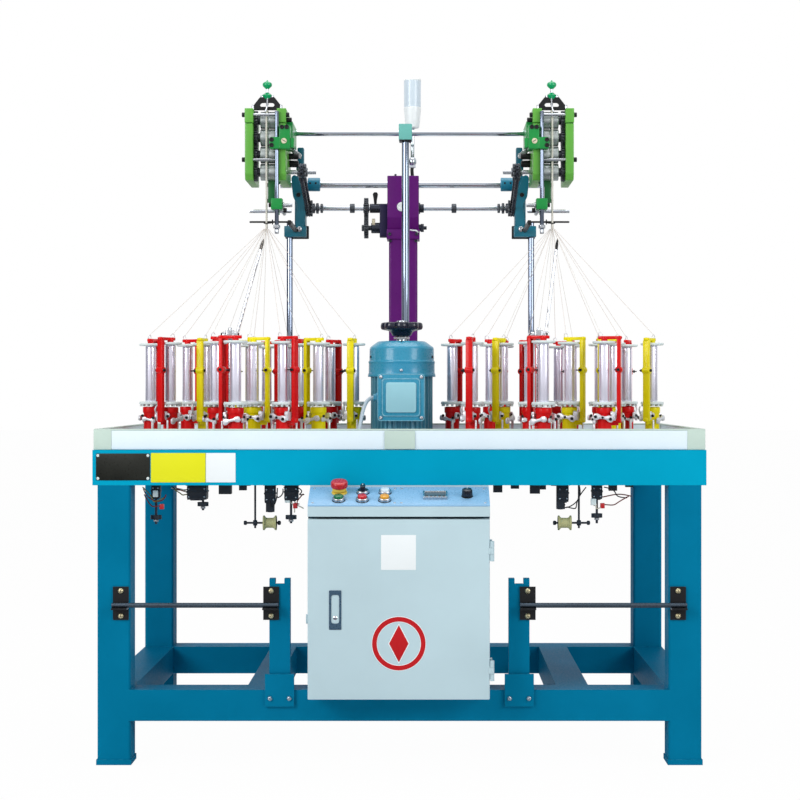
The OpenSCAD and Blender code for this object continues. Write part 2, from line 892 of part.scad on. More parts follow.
module estop_button() {
    color([0.8, 0.05, 0.05]) on_panel(control_x[0], row_back) {
        translate([0, 0, bezel_h / 2 + estop_travel + estop_neck]) zrod(estop_d, estop_h);
        translate([0, 0, bezel_h / 2 + estop_travel]) zrod(button_d, estop_neck);
        translate([0, 0, -panel_t - stem_d]) zrod(stem_d, bezel_h + estop_travel + panel_t + stem_d);
    }
}

module green_button() {
    color([0.1, 0.6, 0.2]) on_panel(control_x[0], row_front) push_button(button_h, button_travel);
}

module red_button() {
    color([0.8, 0.1, 0.1]) on_panel(control_x[1], row_front) push_button(button_h, button_travel);
}

module yellow_button() {
    color([0.95, 0.65, 0.05]) on_panel(control_x[2], row_front) push_button(button_h, button_travel);
}

module mode_selector() {
    color([0.08, 0.08, 0.09]) on_panel(control_x[1], row_back) {
        translate([0, 0, bezel_h + gap]) zrod(button_d, button_h / 2);
        translate([0, 0, bezel_h + gap]) slab(button_h, button_d, knob_h);
        translate([0, 0, -panel_t - stem_d]) zrod(stem_d, bezel_h + gap + panel_t + stem_d);
    }
}

module speed_knob() {
    color([0.08, 0.08, 0.09]) on_panel(speed_x, speed_way) {
        translate([0, 0, bezel_h / 2 + gap]) zrod(knob_d, knob_h);
        translate([0, 0, -panel_t - stem_d]) zrod(stem_d, bezel_h + panel_t + stem_d);
    }
}

// Vertical motor over the main gear, with its terminal box towards the front
module motor() {
    body_h = motor_h - fan_h - motor_flange_t;
    color([0.36, 0.64, 0.76]) translate([0, mid_y, deck_top]) difference() {
        union() {
            zrod(flange_d, motor_flange_t);
            translate([0, 0, motor_flange_t - over]) zrod(frame_d, body_h + 2 * over);
            for (a = [0:fin_n - 1]) rotate([0, 0, (a + 1 / 2) * full / fin_n])
                translate([frame_d / 2 - fan_step, -fin_t / 2, motor_flange_t - over])
                    cube([(motor_d - frame_d) / 2, fin_t, body_h + 2 * over]);
            translate([0, 0, motor_flange_t + body_h]) zrod(motor_d, fan_h - 2 * fan_step);
            translate([0, 0, motor_h - 2 * fan_step]) zrod(motor_d - 2 * fan_step, fan_step);
            translate([0, 0, motor_h - fan_step]) zrod(motor_d - 6 * fan_step, fan_step);
            translate([0, -frame_d / 2 - box_d / 2 + box_root / 2, box_z - box_h / 2])
                slab(box_w, box_d + box_root, box_h);
            translate([0, -frame_d / 2 - box_d - lid_t / 2, box_z - lid_w / 2]) slab(lid_w, lid_t, lid_w);
            for (x = [-1, 1], z = [-1, 1])
                translate([x * (box_w / 2 - screw_d), -frame_d / 2 - box_d - screw_h,
                    box_z + z * (box_h / 2 - screw_d)])
                    yrod(screw_d, screw_h + over);
            translate([-box_w / 2 - gland_l, -frame_d / 2 - box_d / 2, box_z])
                xrod(gland_d, gland_l + over);
        }
        translate([0, 0, -over]) zrod(spindle_d + 2 * fit, motor_h + 2 * over);
    }
}

// Handwheel, spindle and main gear, keyed together
module handwheel_shaft() {
    wheel_top = wheel_z + wheel_h;
    low = table_z - cap_h;
    color([0.1, 0.11, 0.13]) translate([0, mid_y, 0]) {
        translate([0, 0, low]) zrod(spindle_d, wheel_top - low);
        translate([0, 0, table_z - cap_h]) zrod(spindle_d + 2 * screw_d, cap_h - gap);
        translate([0, 0, gear_z]) gear(gear_m, main_teeth, gear_t);
        translate([0, 0, gear_z]) zrod(hub_d + stud_d, gear_t + hub_h);
        translate([0, 0, wheel_z - wheel_hub_h + web_t])
            zrod(wheel_hub_d, wheel_top - wheel_z + wheel_hub_h - web_t);
        translate([0, 0, wheel_z]) zrod(wheel_d - lobe_d, web_t);
        for (a = [0:lobes - 1]) rotate([0, 0, a * full / lobes])
            translate([(wheel_d - lobe_d) / 2, 0, wheel_z])
            zrod(lobe_d, wheel_h - web_t / 2);
    }
}

// Column: base, tube, neck and gear head, with the bearings of the take-up shaft
module head_side() {
    polygon([
        [column_y - head_d / 2, head_z],
        [column_y - column_s / 2, neck_z + 2 * base_t],
        [column_y + column_s / 2, neck_z + 2 * base_t],
        [column_y + head_d / 2, head_z],
        [column_y + head_d / 2, column_top],
        [column_y - head_d / 2, column_top]
    ]);
}

module gear_column() {
    color([0.42, 0.17, 0.52]) difference() {
        union() {
            translate([0, column_y - base_t, deck_top]) slab(base_w, base_w - 2 * base_t, base_t);
            translate([0, column_y, deck_top])
                round_bar(column_s, column_s, neck_z + 2 * base_t - deck_top, tube_r);
            translate([0, column_y, neck_z]) slab(neck_w, neck_w, 2 * base_t);
            across(head_w) head_side();
            translate([0, column_y - head_d / 2 - cover_t, shaft_z]) yrod(cover_d, cover_t + over);
            translate([-head_w / 2 - sleeve_l, bar_y, shaft_z]) xrod(sleeve_d, sleeve_l + over);
            translate([head_w / 2 - over, bar_y, shaft_z]) xrod(sleeve_d, collar_l + over);
            translate([-head_w / 2 - bracket_l / 2, bar_y, shaft_z - change_drop - sleeve_d / 2])
                slab(bracket_l, sleeve_d, change_drop + sleeve_d);
            translate([-head_w / 2 - sleeve_l, bar_y, shaft_z - change_drop])
                xrod(sleeve_d, sleeve_l + over);
            translate([head_w / 2 - over, bar_y, shaft_z - change_drop]) xrod(sleeve_d, collar_l);
            translate([-head_w / 4, column_y, column_top - over]) zrod(screw_d, screw_h + over);
        }
        translate([-head_w, bar_y, bar_z]) xrod(bar_d + 2 * fit, 2 * head_w);
        translate([-2 * head_w, bar_y, shaft_z]) xrod(shaft_d + 2 * fit, 4 * head_w);
        translate([-2 * head_w, bar_y, shaft_z - change_drop]) xrod(shaft_d + 2 * fit, 2 * head_w);
        translate([lamp_x, lamp_y, column_top - hose_d]) zrod(hose_d + 2 * fit, hose_d + over);
    }
}

module change_gear() {
    color([0.2, 0.2, 0.22]) translate([change_x, bar_y, shaft_z - change_drop]) {
        translate([-change_t / 2, 0, 0]) rotate([0, quarter, 0]) rotate([0, 0, full / change_teeth / 2])
            gear(change_m, change_teeth, change_t);
        translate([-change_t, 0, 0]) xrod(shaft_d, -change_x + change_t);
    }
}

module takeup_shaft() {
    ends = [unit_x[0] + chain_u - sprocket_t - collar_l - arm_w / 2,
        unit_x[1] - chain_u + sprocket_t + collar_l + arm_w / 2];
    color([0.75, 0.76, 0.78]) translate([0, bar_y, shaft_z]) {
        translate([ends[0], 0, 0]) xrod(shaft_d, ends[1] - ends[0]);
        translate([change_x - change_t / 2, 0, 0]) rotate([0, quarter, 0])
            gear(change_m, change_teeth, change_t);
        for (x = [unit_x[0] + chain_u, unit_x[1] - chain_u]) sprocket(x);
        for (x = [-1, 1]) translate([x * (head_w / 2 + sleeve_l + collar_l * 3), 0, 0])
            translate([-collar_l / 2, 0, 0])
            xrod(sleeve_d, collar_l);
    }
}

module sprocket(x) {
    translate([x - sprocket_t / 2, 0, 0]) xrod(sprocket_d, sprocket_t);
    translate([x - sprocket_t, 0, 0]) xrod(sleeve_d, 2 * sprocket_t);
}

// Lamp on its stem over the gear head
module signal_lamp() {
    foot = column_top - hose_d;
    color([0.92, 0.92, 0.9]) translate([lamp_x, lamp_y, 0]) {
        translate([0, 0, lamp_top - lens_h]) zrod(lamp_d, lens_h);
        translate([0, 0, lamp_top - lamp_h]) cylinder(d1 = lamp_foot_d, d2 = lamp_d, h = lamp_h - lens_h);
        translate([0, 0, ball_z]) zrod(stem_rod_d, lamp_top - lamp_h - ball_z);
        translate([0, 0, ball_z]) sphere(d = ball_d);
        translate([0, 0, foot]) zrod(hose_d, ball_z - foot);
    }
}

// Polished bars and posts
module cross_bars() {
    out = arm_w;
    color([0.85, 0.86, 0.88]) {
        translate([stay_x[0] - out, bar_y, bar_z]) xrod(bar_d, stay_x[1] - stay_x[0] + 2 * out);
        translate([unit_x[0] + side_in + in_t + gap, upper_y, upper_z])
            xrod(upper_d, unit_x[1] - unit_x[0] - 2 * (side_in + in_t + gap));
        for (x = stay_x) translate([x, stay_y, deck_top]) zrod(stay_d, foot_z + foot_h - deck_top);
        translate([mast_x, upper_y - (upper_d + centre_d) / 2 - gap, deck_top])
            zrod(centre_d, upper_z + cube_s / 2 - deck_top);
        for (k = [0, 1]) translate([unit_x[k] + (k == 0 ? 1 : -1) * post_rod_u, rod_y(), post_rod_z])
            zrod(post_rod_d, post_rod_top - post_rod_z);
        for (k = [0, 1])
            translate([unit_x[k] + (k == 0 ? 1 : -1) * post_rod_u, rod_y(), post_rod_z - nut_h])
            hex(rod_nut_d, nut_h);
    }
}

function rod_y() = roller_y - side_front - post_rod_d / 2 - gap;

// Castings of the take-up units, the clamps of the bars and the chains
module at_unit(k) {
    translate([unit_x[k], 0, 0]) mirror([k, 0, 0]) children();
}

module side_plate(u, w) {
    translate([u, roller_y - side_front, side_z]) cube([w, side_d, side_h]);
}

module chain() {
    run = [bar_y - roller_y, shaft_z - roller_z];
    span = norm(run);
    tilt = atan2(run[1], run[0]);
    translate([chain_u - chain_w / 2, roller_y, roller_z]) rotate([quarter, 0, quarter])
        rotate([0, 0, tilt])
        linear_extrude(chain_w) difference() {
            loop(span, sprocket_d + 2 * gap + 2 * chain_t);
            loop(span, sprocket_d + 2 * gap);
        }
}

module loop(span, d) {
    circle(d = d);
    translate([span, 0]) circle(d = d);
    translate([0, -d / 2]) square([span, d]);
}

module takeup_unit() {
    color([0.42, 0.76, 0.26]) difference() {
        union() {
            side_plate(side_out, side_t);
            side_plate(side_in, in_t);
            for (z = cross_bar_z) translate([side_out, cross_bar_y, side_z + z])
                xrod(cross_bar_d, side_in - side_out + in_t);
            for (z = cross_bar_z) translate([side_out - screw_h, cross_bar_y, side_z + z])
                xrod(cross_bar_d + screw_h, screw_h + over);
        }
        for (n = [0:3]) translate([side_out - over, roller_y, roller_z + n * roller_pitch])
            xrod(roller_axle_d + 2 * fit, side_in + in_t - side_out + 2 * over);
    }
    color([0.12, 0.6, 0.3]) difference() {
        union() {
            translate([clamp_u, rod_y() - clamp_w / 2, upper_z - clamp_h])
                cube([clamp_w, upper_y - rod_y() + clamp_w, clamp_h + upper_d]);
            translate([post_rod_u - clamp_cube / 2, rod_y() - clamp_cube / 2,
                clamp_cube_z - clamp_cube / 2])
                cube([clamp_cube, clamp_cube, clamp_cube]);
            translate([post_rod_u, rod_y() + clamp_cube / 2 - over, clamp_cube_z])
                yrod(rod_end_d, stay_y - rod_y() - clamp_cube / 2);
            translate([post_rod_u, guide_y, rod_z - guide_rod_d])
                slab(rod_end_d, 2 * guide_rod_d, clamp_cube_z - rod_z + guide_rod_d);
        }
        translate([0, guide_y, rod_z]) xrod(guide_rod_d + 2 * fit, 2 * post_rod_u);
        side_plate(side_in - gap, in_t + 2 * gap);
        translate([post_rod_u, rod_y(), side_z - side_h]) zrod(post_rod_d + 2 * fit, 3 * side_h);
        translate([side_in + in_t, upper_y, upper_z]) xrod(upper_d + 2 * fit, side_h);
    }
    color([0.1, 0.1, 0.11]) {
        translate([0, roller_y, yoke_z]) yoke();
        chain();
    }
}

module yoke() {
    difference() {
        translate([-yoke_w / 2, -yoke_t / 2, 0]) cube([yoke_w, yoke_t, yoke_h]);
        translate([-yoke_w / 4, -yoke_t, yoke_h / 4]) cube([yoke_w / 2, 2 * yoke_t, yoke_h / 3]);
        translate([-braid_d, -yoke_t, -over]) cube([2 * braid_d, 2 * yoke_t, braid_d + over]);
    }
    translate([0, 0, yoke_h - over]) zrod(tension_d, knob_rise[1] - yoke_h + over);
    for (z = knob_rise) translate([0, 0, z]) scale([1, 1, knob_flat_share]) sphere(r = knob_r);
}

module stay_arm(k) {
    side = k == 0 ? 1 : -1;
    color([0.06, 0.45, 0.55]) difference() {
        union() {
            translate([stay_x[k], stay_y, foot_z]) slab(foot_w, arm_w, foot_h);
            translate([stay_x[k] + side * arm_t / 2, (stay_y + bar_y) / 2, foot_z])
                slab(arm_t, bar_y - stay_y + arm_w, foot_h);
            translate([stay_x[k] + side * arm_t / 2, bar_y, foot_z]) slab(arm_t, arm_w, bar_z - foot_z);
            translate([stay_x[k] + side * arm_t / 2 - arm_t / 2, bar_y, bar_z]) xrod(collar_hub_d, arm_t);
            translate([stay_x[k] + side * (arm_t + hub_l) - hub_l / 2, bar_y, bar_z])
                xrod(collar_hub_d, hub_l);
        }
        translate([stay_x[k], stay_y, foot_z - over]) zrod(stay_d + 2 * fit, foot_h + 2 * over);
        translate([stay_x[k] - foot_w - arm_w, bar_y, bar_z])
            xrod(bar_d + 2 * fit, 2 * foot_w + 2 * arm_w);
        translate([stay_x[k] - foot_w, bar_y, shaft_z]) xrod(shaft_d + 2 * fit, 2 * foot_w);
    }
}

module takeup_frames() {
    for (k = [0, 1]) {
        at_unit(k) takeup_unit();
        stay_arm(k);
    }
    color([0.43, 0.76, 0.74]) difference() {
        translate([mast_x, upper_y - centre_d / 2, upper_z - cube_drop])
            slab(cube_s, cube_s + centre_d, cube_h);
        translate([mast_x, upper_y - (upper_d + centre_d) / 2 - gap, upper_z - cube_s])
            zrod(centre_d + 2 * fit, cube_s * 2);
        translate([-side_h, upper_y, upper_z]) xrod(upper_d + 2 * fit, 2 * side_h);
    }
}

// Take-up rollers, one for each unit on a line, geared to their neighbours
module roller_row(n) {
    color([0.7, 0.71, 0.72]) for (k = [0, 1]) at_unit(k)
        translate([0, roller_y, roller_z + n * roller_pitch]) {
        translate([side_in - gap - roller_l, 0, 0]) xrod(roller_d, roller_l);
        translate([side_out + side_t + gap, 0, 0]) rotate([0, quarter, 0])
            rotate([0, 0, n % 2 == 0 ? 0 : full / roller_gear_teeth / 2])
                gear(roller_pitch / roller_gear_teeth, roller_gear_teeth, roller_gear_t);
        translate([side_out, 0, 0]) xrod(roller_axle_d, side_in + in_t - side_out);
    }
}

module bottom_rollers() {
    roller_row(0);
    color([0.85, 0.86, 0.88]) for (k = [0, 1]) at_unit(k) translate([0, roller_y, roller_z]) {
        translate([side_in + in_t - over, 0, 0]) xrod(roller_axle_d, stub_u - side_in - in_t + over);
        sprocket(chain_u);
    }
}

module lower_rollers() {
    roller_row(1);
}

module upper_rollers() {
    roller_row(2);
}

module top_rollers() {
    roller_row(3);
}

// Guides of the braids: thin rods under the rollers, forming rings, and the slanted feelers
module strand(a, b, d) {
    v = b - a;
    l = norm(v);
    translate(a) rotate([0, acos(v[2] / l), atan2(v[1], v[0])]) cylinder(d = d, h = l);
}

module bars_and_guides() {
    cross_bars();
    braid_guides();
}

module braid_guides() {
    color([0.3, 0.31, 0.33]) for (k = [0, 1]) {
        side = k == 0 ? 1 : -1;
        x = (k == 0 ? -1 : 1) * head_x + stand_off[k];
        top = deck_top + pin_rod_h;
        translate([x, mid_y, deck_top]) zrod(pin_rod_d, pin_rod_h);
        translate([x - clamp_l / 2, mid_y, top - clamp_l / 2]) xrod(pin_rod_d * 2, clamp_l);
        strand([x + clamp_l / 2, mid_y, top - clamp_l / 4], [unit_x[k] - side * 2 * braid_d, ring_y,
            fell_z - 6 * fell_r], pin_rod_d);
        at_unit(k) translate([-roller_l, guide_y, rod_z]) xrod(guide_rod_d, roller_l + stub_u / 2);
        at_unit(k) translate([-roller_l, ring_y + thin_rod_d + braid_d, guide_z])
            xrod(thin_rod_d, roller_l + stub_u / 2);
        at_unit(k) translate([stub_u / 2 - guide_rod_d, ring_y, guide_z - guide_rod_d])
            cube([guide_rod_d, stay_y - arm_w / 2 - ring_y, guide_rod_d + thin_rod_d]);
    }
}

// Yarns from the carriers' eyes to the fell of each braid, and the braids over the rollers
function turned(v, a) = [v[0] * cos(a) - v[1] * sin(a), v[0] * sin(a) + v[1] * cos(a)];

function eye_xy(s, i, k) =
    let (
        t = horn_turn(s, i) + k * full / 2,
        in_slot = turned([-bobbin_d / 6, 0], trail(i)) + [horn_pitch / 2, 0],
        in_gear = turned(in_slot, t) + [ring_r, 0],
        in_head = turned(in_gear, i * full / gears) - [head_x, 0]
    )
    turned(in_head, s * full / 2) + [0, mid_y];

module yarn(s, i, k) {
    e = eye_xy(s, i, k);
    a = [e[0], e[1], deck_top + carrier_h + eye_d / 2 + eye_wire / 2 + gap];
    b = [unit_x[s], ring_y, fell_z];
    dir = (a - b) / norm(a - b);
    strand(a, b + dir * (fell_r + gap), yarn_d);
}

module yarns() {
    top = roller_z + 3 * roller_pitch;
    wrap = roller_y - ring_y;
    color([0.95, 0.93, 0.9]) {
        for (s = [0, 1], i = [0:gears - 1], k = [0, 1]) yarn(s, i, k);
        for (k = [0, 1]) translate([unit_x[k], 0, 0]) {
            translate([0, ring_y, fell_z]) sphere(r = fell_r);
            translate([0, ring_y, fell_z]) zrod(braid_d, top - fell_z);
            translate([0, roller_y, top]) rotate([0, quarter, 0]) rotate([0, 0, quarter])
                rotate_extrude(angle = full / 2) translate([wrap, 0]) circle(d = braid_d);
            translate([0, roller_y + wrap, roller_z]) zrod(braid_d, top - roller_z);
        }
    }
}

for (i = [1:gears]) horn_gear(0, i - 1);
for (i = [1:gears]) horn_gear(1, i - 1);
for (i = [1:gears]) carriers(0, i - 1);
for (i = [1:gears]) carriers(1, i - 1);
stand_frame();
table_bed();
track_deck();
tray_walls();
guard_rods();
cabinet_body();
cabinet_door();
door_latch();
control_panel();
estop_button();
green_button();
red_button();
yellow_button();
mode_selector();
speed_knob();
motor();
handwheel_shaft();
gear_column();
change_gear();
signal_lamp();
bars_and_guides();
takeup_shaft();
takeup_frames();
bottom_rollers();
lower_rollers();
upper_rollers();
top_rollers();
yarns();
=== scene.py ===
# %% [markdown]
# A maypole braiding machine: two rings of bobbin carriers on a stand, a motor between them, and
# rollers above that draw the finished braids up. The solids come from the CAD frame, in metres,
# and each step below gives a piece its real shape and finish. Shapes are worked out with numpy
# as whole arrays, so a ring of thirty-two carriers costs no more code than one.
# %% Frame
import json
import math
import bpy
import numpy as np
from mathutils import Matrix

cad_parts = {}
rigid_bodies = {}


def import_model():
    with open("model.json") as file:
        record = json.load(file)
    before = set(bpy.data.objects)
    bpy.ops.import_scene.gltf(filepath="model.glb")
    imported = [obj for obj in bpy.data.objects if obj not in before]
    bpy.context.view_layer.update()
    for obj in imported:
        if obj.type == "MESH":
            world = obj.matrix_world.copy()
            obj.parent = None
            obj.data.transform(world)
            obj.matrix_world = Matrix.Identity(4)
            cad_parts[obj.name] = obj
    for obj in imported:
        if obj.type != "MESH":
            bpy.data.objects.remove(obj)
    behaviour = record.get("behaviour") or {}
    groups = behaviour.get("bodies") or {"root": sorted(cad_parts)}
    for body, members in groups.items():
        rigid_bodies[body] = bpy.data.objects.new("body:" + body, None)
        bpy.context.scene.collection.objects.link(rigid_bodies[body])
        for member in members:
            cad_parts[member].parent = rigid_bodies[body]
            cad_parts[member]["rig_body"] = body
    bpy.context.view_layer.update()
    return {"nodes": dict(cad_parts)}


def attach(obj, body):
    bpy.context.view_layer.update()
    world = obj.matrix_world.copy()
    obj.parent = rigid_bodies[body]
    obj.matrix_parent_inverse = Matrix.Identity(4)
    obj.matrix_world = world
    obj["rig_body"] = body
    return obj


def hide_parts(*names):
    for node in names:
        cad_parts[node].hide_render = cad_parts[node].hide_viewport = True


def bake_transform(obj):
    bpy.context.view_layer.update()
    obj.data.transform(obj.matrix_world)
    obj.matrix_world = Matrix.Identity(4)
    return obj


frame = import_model()

# %% [markdown]
# The camera stands square in front of the machine, level and far away, behind a long lens. The
# picture was cropped after it was taken, so a small shift moves the frame instead of the camera.
# The machine is seen against white, so the floor and the world are pale and the light is soft:
# one broad lamp on either side, one above, and a sky that fills the shadows.
# %% Camera
MM = 0.001
FRONT_Y, MID_Y = -368.5, 50.5                   # the stand's front and the middle of the table, in mm
AWAY, MM_PER_PIXEL, PIXELS = 4460, 2.41, 800    # camera to the front, and the picture's scale there
EYE_X, EYE_Z, SHIFT_X, SHIFT_Y = 64, 896.5, -26, -7
scene = bpy.context.scene
camera = bpy.data.objects.new("camera", bpy.data.cameras.new("camera"))
scene.collection.objects.link(camera)
camera.location = (EYE_X * MM, (FRONT_Y - AWAY) * MM, EYE_Z * MM)
camera.rotation_euler = (math.pi / 2, 0, 0)
camera.data.sensor_width = 36
camera.data.lens = camera.data.sensor_width * AWAY / (MM_PER_PIXEL * PIXELS)
camera.data.shift_x, camera.data.shift_y = SHIFT_X / PIXELS, SHIFT_Y / PIXELS
scene.camera = camera
scene.view_settings.view_transform = "Standard"


print("camera", tuple(camera.location), "lens", round(camera.data.lens, 2))

# %% [markdown]
# Lamps, sky and cards. The sky is white to the camera alone, because a full white sky would wash out
# the paint and the chrome. Three dark cards, which only mirror-like surfaces see, give the rods and
# barrels their dark bands. None of these is part of the machine.
# %% Lamps, sky and cards


def on_stage(name, data):
    """An object that lights or holds the scene and isn't part of the machine."""
    o = bpy.data.objects.new(name, data)
    scene.collection.objects.link(o)
    return o


def soft_lamp(name, at, size, watts, aim=(0, 0, 0.9)):
    """A square lamp of that size in metres, turned so that its light falls on the aim."""
    lamp = bpy.data.lights.new(name, "AREA")
    lamp.size, lamp.energy = size, watts
    o = on_stage(name, lamp)
    o.location = at
    way = np.subtract(aim, at)
    o.rotation_euler = (math.acos(-way[2] / np.linalg.norm(way)), 0, math.atan2(way[0], -way[1]) + math.pi)


soft_lamp("lamp_left", (-3.2, -3.4, 2.6), 2.2, 104)
soft_lamp("lamp_right", (3.4, -3.0, 2.2), 2.0, 68)
soft_lamp("lamp_above", (0, 0.4, 4.2), 2.6, 60)
world = bpy.data.worlds.new("pale_sky")
world.use_nodes = True
SKY_LIGHT, SKY_SHINE = 0.38, 0.88    # how bright the sky is to matt surfaces and to mirrors
sky = world.node_tree
sky.nodes["Background"].inputs["Color"].default_value = (1, 1, 1, 1)
ray = sky.nodes.new("ShaderNodeLightPath")
brighter = sky.nodes.new("ShaderNodeMath")
brighter.operation = "MAXIMUM"
for slot, (kind, most) in enumerate((("Is Camera Ray", 1.0), ("Is Glossy Ray", SKY_SHINE))):
    level = sky.nodes.new("ShaderNodeMapRange")
    level.inputs["To Min"].default_value, level.inputs["To Max"].default_value = SKY_LIGHT, most
    sky.links.new(ray.outputs[kind], level.inputs["Value"])
    sky.links.new(level.outputs[0], brighter.inputs[slot])
sky.links.new(brighter.outputs[0], sky.nodes["Background"].inputs["Strength"])
scene.world = world
card_paint = bpy.data.materials.new("card_navy")
card_paint.use_nodes = True
card_paint.node_tree.nodes["Principled BSDF"].inputs["Base Color"].default_value = (0.015, 0.022, 0.05, 1)


def flat_sheet(name, corners, paint):
    """One four-cornered face of the stage."""
    mesh = bpy.data.meshes.new(name)
    mesh.from_pydata(corners, [], [(0, 1, 2, 3)])
    mesh.materials.append(paint)
    return on_stage(name, mesh)


def dark_card(name, corners):
    """A card that only mirror-like surfaces see, so that polished rods show a dark band beside the bright one."""
    o = flat_sheet(name, corners, card_paint)
    o.visible_camera = o.visible_diffuse = o.visible_shadow = False
    o.visible_transmission = o.visible_volume_scatter = False


dark_card("card_left", [(-2.6, -1.2, 0), (-2.6, 1.0, 0), (-2.6, 1.0, 3.2), (-2.6, -1.2, 3.2)])
dark_card("card_right", [(2.9, -0.7, 0), (2.9, 0.4, 0), (2.9, 0.4, 3.2), (2.9, -0.7, 3.2)])
dark_card("card_low", [(-2.4, -3.2, 0.015), (2.4, -3.2, 0.015), (2.4, -0.7, 0.015), (-2.4, -0.7, 0.015)])
print("lamps", len(bpy.data.lights), "sky", SKY_LIGHT, "seen in mirrors", SKY_SHINE)

# %% [markdown]
# Shapes. Every shape here is a set of rings: row upon row of points, joined by four-sided faces
# and closed by one face at each end. A shape is a pair, its points and its faces, so shapes can be
# turned, moved and added before they become one mesh. A modelling tool could bevel plain boxes
# instead, but rings give the rounded edge at once and keep each piece light.
# %% Rings of points


def closed_grid(r, c):
    """The faces of r rows of c points that close on themselves both ways, as a ring of rings does."""
    i, j = np.meshgrid(np.arange(r), np.arange(c), indexing="ij")
    k, n = (j + 1) % c, (i + 1) % r
    return np.stack([i * c + j, i * c + k, n * c + k, n * c + j], -1).reshape(-1, 4)


def rings(rows):
    """Points on a grid of rows, each row a closed ring. Faces join next rows, and a flat face closes each end."""
    r, c = rows.shape[:2]
    i, j = np.meshgrid(np.arange(r - 1), np.arange(c), indexing="ij")
    k = (j + 1) % c
    sides = np.stack([i * c + j, i * c + k, (i + 1) * c + k, (i + 1) * c + j], -1).reshape(-1, 4)
    return rows.reshape(-1, 3), [sides, np.arange(c)[::-1][None], (np.arange(c) + (r - 1) * c)[None]]


def unit(v):
    """Each row of v at length one."""
    return v / np.maximum(np.linalg.norm(v, axis=1), 1e-9)[:, None]


def polar(r, a, z=None):
    """Points at the radius r and the angle a: x = r cos a, y = r sin a, and the height z if there is one."""
    xy = [r * np.cos(a), r * np.sin(a)]
    return np.stack(xy if z is None else [*xy, z + 0 * a], -1)


print("three rings of eight have", len(rings(np.zeros((3, 8, 3)))[1][0]), "side faces")

# %% [markdown]
# Turned shapes. No real edge is sharp, so every corner of a profile becomes a small curve before the
# profile is carried round the axis. A Bevel modifier could do it too, but here each profile keeps its
# own radius and the mesh stays small.
# %% Turned shapes


def softened(points, radius, steps=3, closed=True):
    """Each corner p becomes a curve from P0 = p - r*a to P2 = p + r*b, a and b being the ways in and out:
    (1-t)^2 P0 + 2t(1-t) p + t^2 P2."""
    p = np.array(points, float)
    before, after = np.roll(p, 1, 0), np.roll(p, -1, 0)
    a, b = p - before, after - p
    la, lb = np.linalg.norm(a, axis=1)[:, None], np.linalg.norm(b, axis=1)[:, None]
    r = np.minimum(radius, 0.45 * np.minimum(la, lb))
    t = np.linspace(0, 1, steps + 1)[None, :, None]
    start, end = (p - r * a / la)[:, None], (p + r * b / lb)[:, None]
    curve = (1 - t) ** 2 * start + 2 * t * (1 - t) * p[:, None] + t ** 2 * end
    if closed:
        return curve.reshape(-1, p.shape[1])
    return np.vstack([p[:1], curve[1:-1].reshape(-1, p.shape[1]), p[-1:]])


AXIS = 0.02    # a hair off the axis, so that no ring of points falls into one


def turned(profile, sides=32, soft=0.6):
    """A profile of (radius, height) turned round Z: x = r cos a, y = r sin a. Its corners are softened."""
    q = softened(profile, soft, 2, closed=False) if soft else np.array(profile, float)
    a = np.arange(sides) / sides * 2 * np.pi
    return rings(polar(q[:, :1], a, q[:, 1:]))


def solid(profile, sides=32, soft=0.6, top=None):
    """A profile of (radius, height) turned and closed to the axis at both ends, the upper one at the height top."""
    ends = (AXIS, profile[0][1]), (AXIS, profile[-1][1] if top is None else top)
    return turned([ends[0], *profile, ends[1]], sides, soft)


def rod(d, length, soft=0.6, sides=24):
    """A straight round rod along Z."""
    return solid([(d / 2, 0), (d / 2, length)], sides, soft)


print("a rod has", len(rod(10, 50)[0]), "points")

# %% [markdown]
# Plates and blocks. A cut plate is its outline carried up, and its edges are eased by drawing the
# outline in at both ends. A block is the same thing with a rectangle.
# %% Plates and blocks


def rounded(x0, y0, x1, y1, radius, steps=3):
    """The outline of a rectangle with rounded corners."""
    return softened([(x0, y0), (x1, y0), (x1, y1), (x0, y1)], radius, steps)


def inset(outline, by):
    """Moves each point of a closed outline inwards, along the mean of its two edges' normals."""
    e = unit(np.roll(outline, -1, 0) - outline)
    m = unit(e + np.roll(e, 1, 0))
    return outline + by * np.stack([-m[:, 1], m[:, 0]], -1)


def prism(outline, height, edge=0.8):
    """An outline carried up Z, drawn in by the edge radius at both ends: inset e(1-sin t) at height e(1-cos t)."""
    o = np.array(outline, float)
    t = np.array([0, 0.5, 1]) * np.pi / 2
    z = np.concatenate([edge * (1 - np.cos(t)), height - edge * (1 - np.cos(t[::-1]))])
    d = np.concatenate([edge * (1 - np.sin(t)), edge * (1 - np.sin(t[::-1]))])
    return rings(np.stack([np.hstack([inset(o, dd), np.full((len(o), 1), zz)]) for dd, zz in zip(d, z)]))


def block(w, d, h, corner=1.2, edge=0.8):
    """A box of that width, depth and height, centred in X and Y, with rounded corners and edges."""
    x, y = w / 2, d / 2
    return prism(rounded(-x, -y, x, y, corner, 3), h, min(edge, h / 3))


print("a rounded block has", len(block(10, 10, 10)[0]), "points")

# %% [markdown]
# Tubes and paths. Hoses, wires, bent levers and braids are a round section carried along a path. The
# path is a smooth curve through a few points, or a straight line in short steps.
# %% Tubes and paths


def swept(p, r, a, side):
    """A round section carried along a path: p + r (cos a * side + sin a * over), where over = way x side."""
    over = np.cross(unit(np.gradient(p, axis=0)), side)
    c, s = np.cos(a)[:, None], np.sin(a)[:, None]
    return rings(p[:, None] + r[..., None] * (c * side[:, None] + s * over[:, None]))


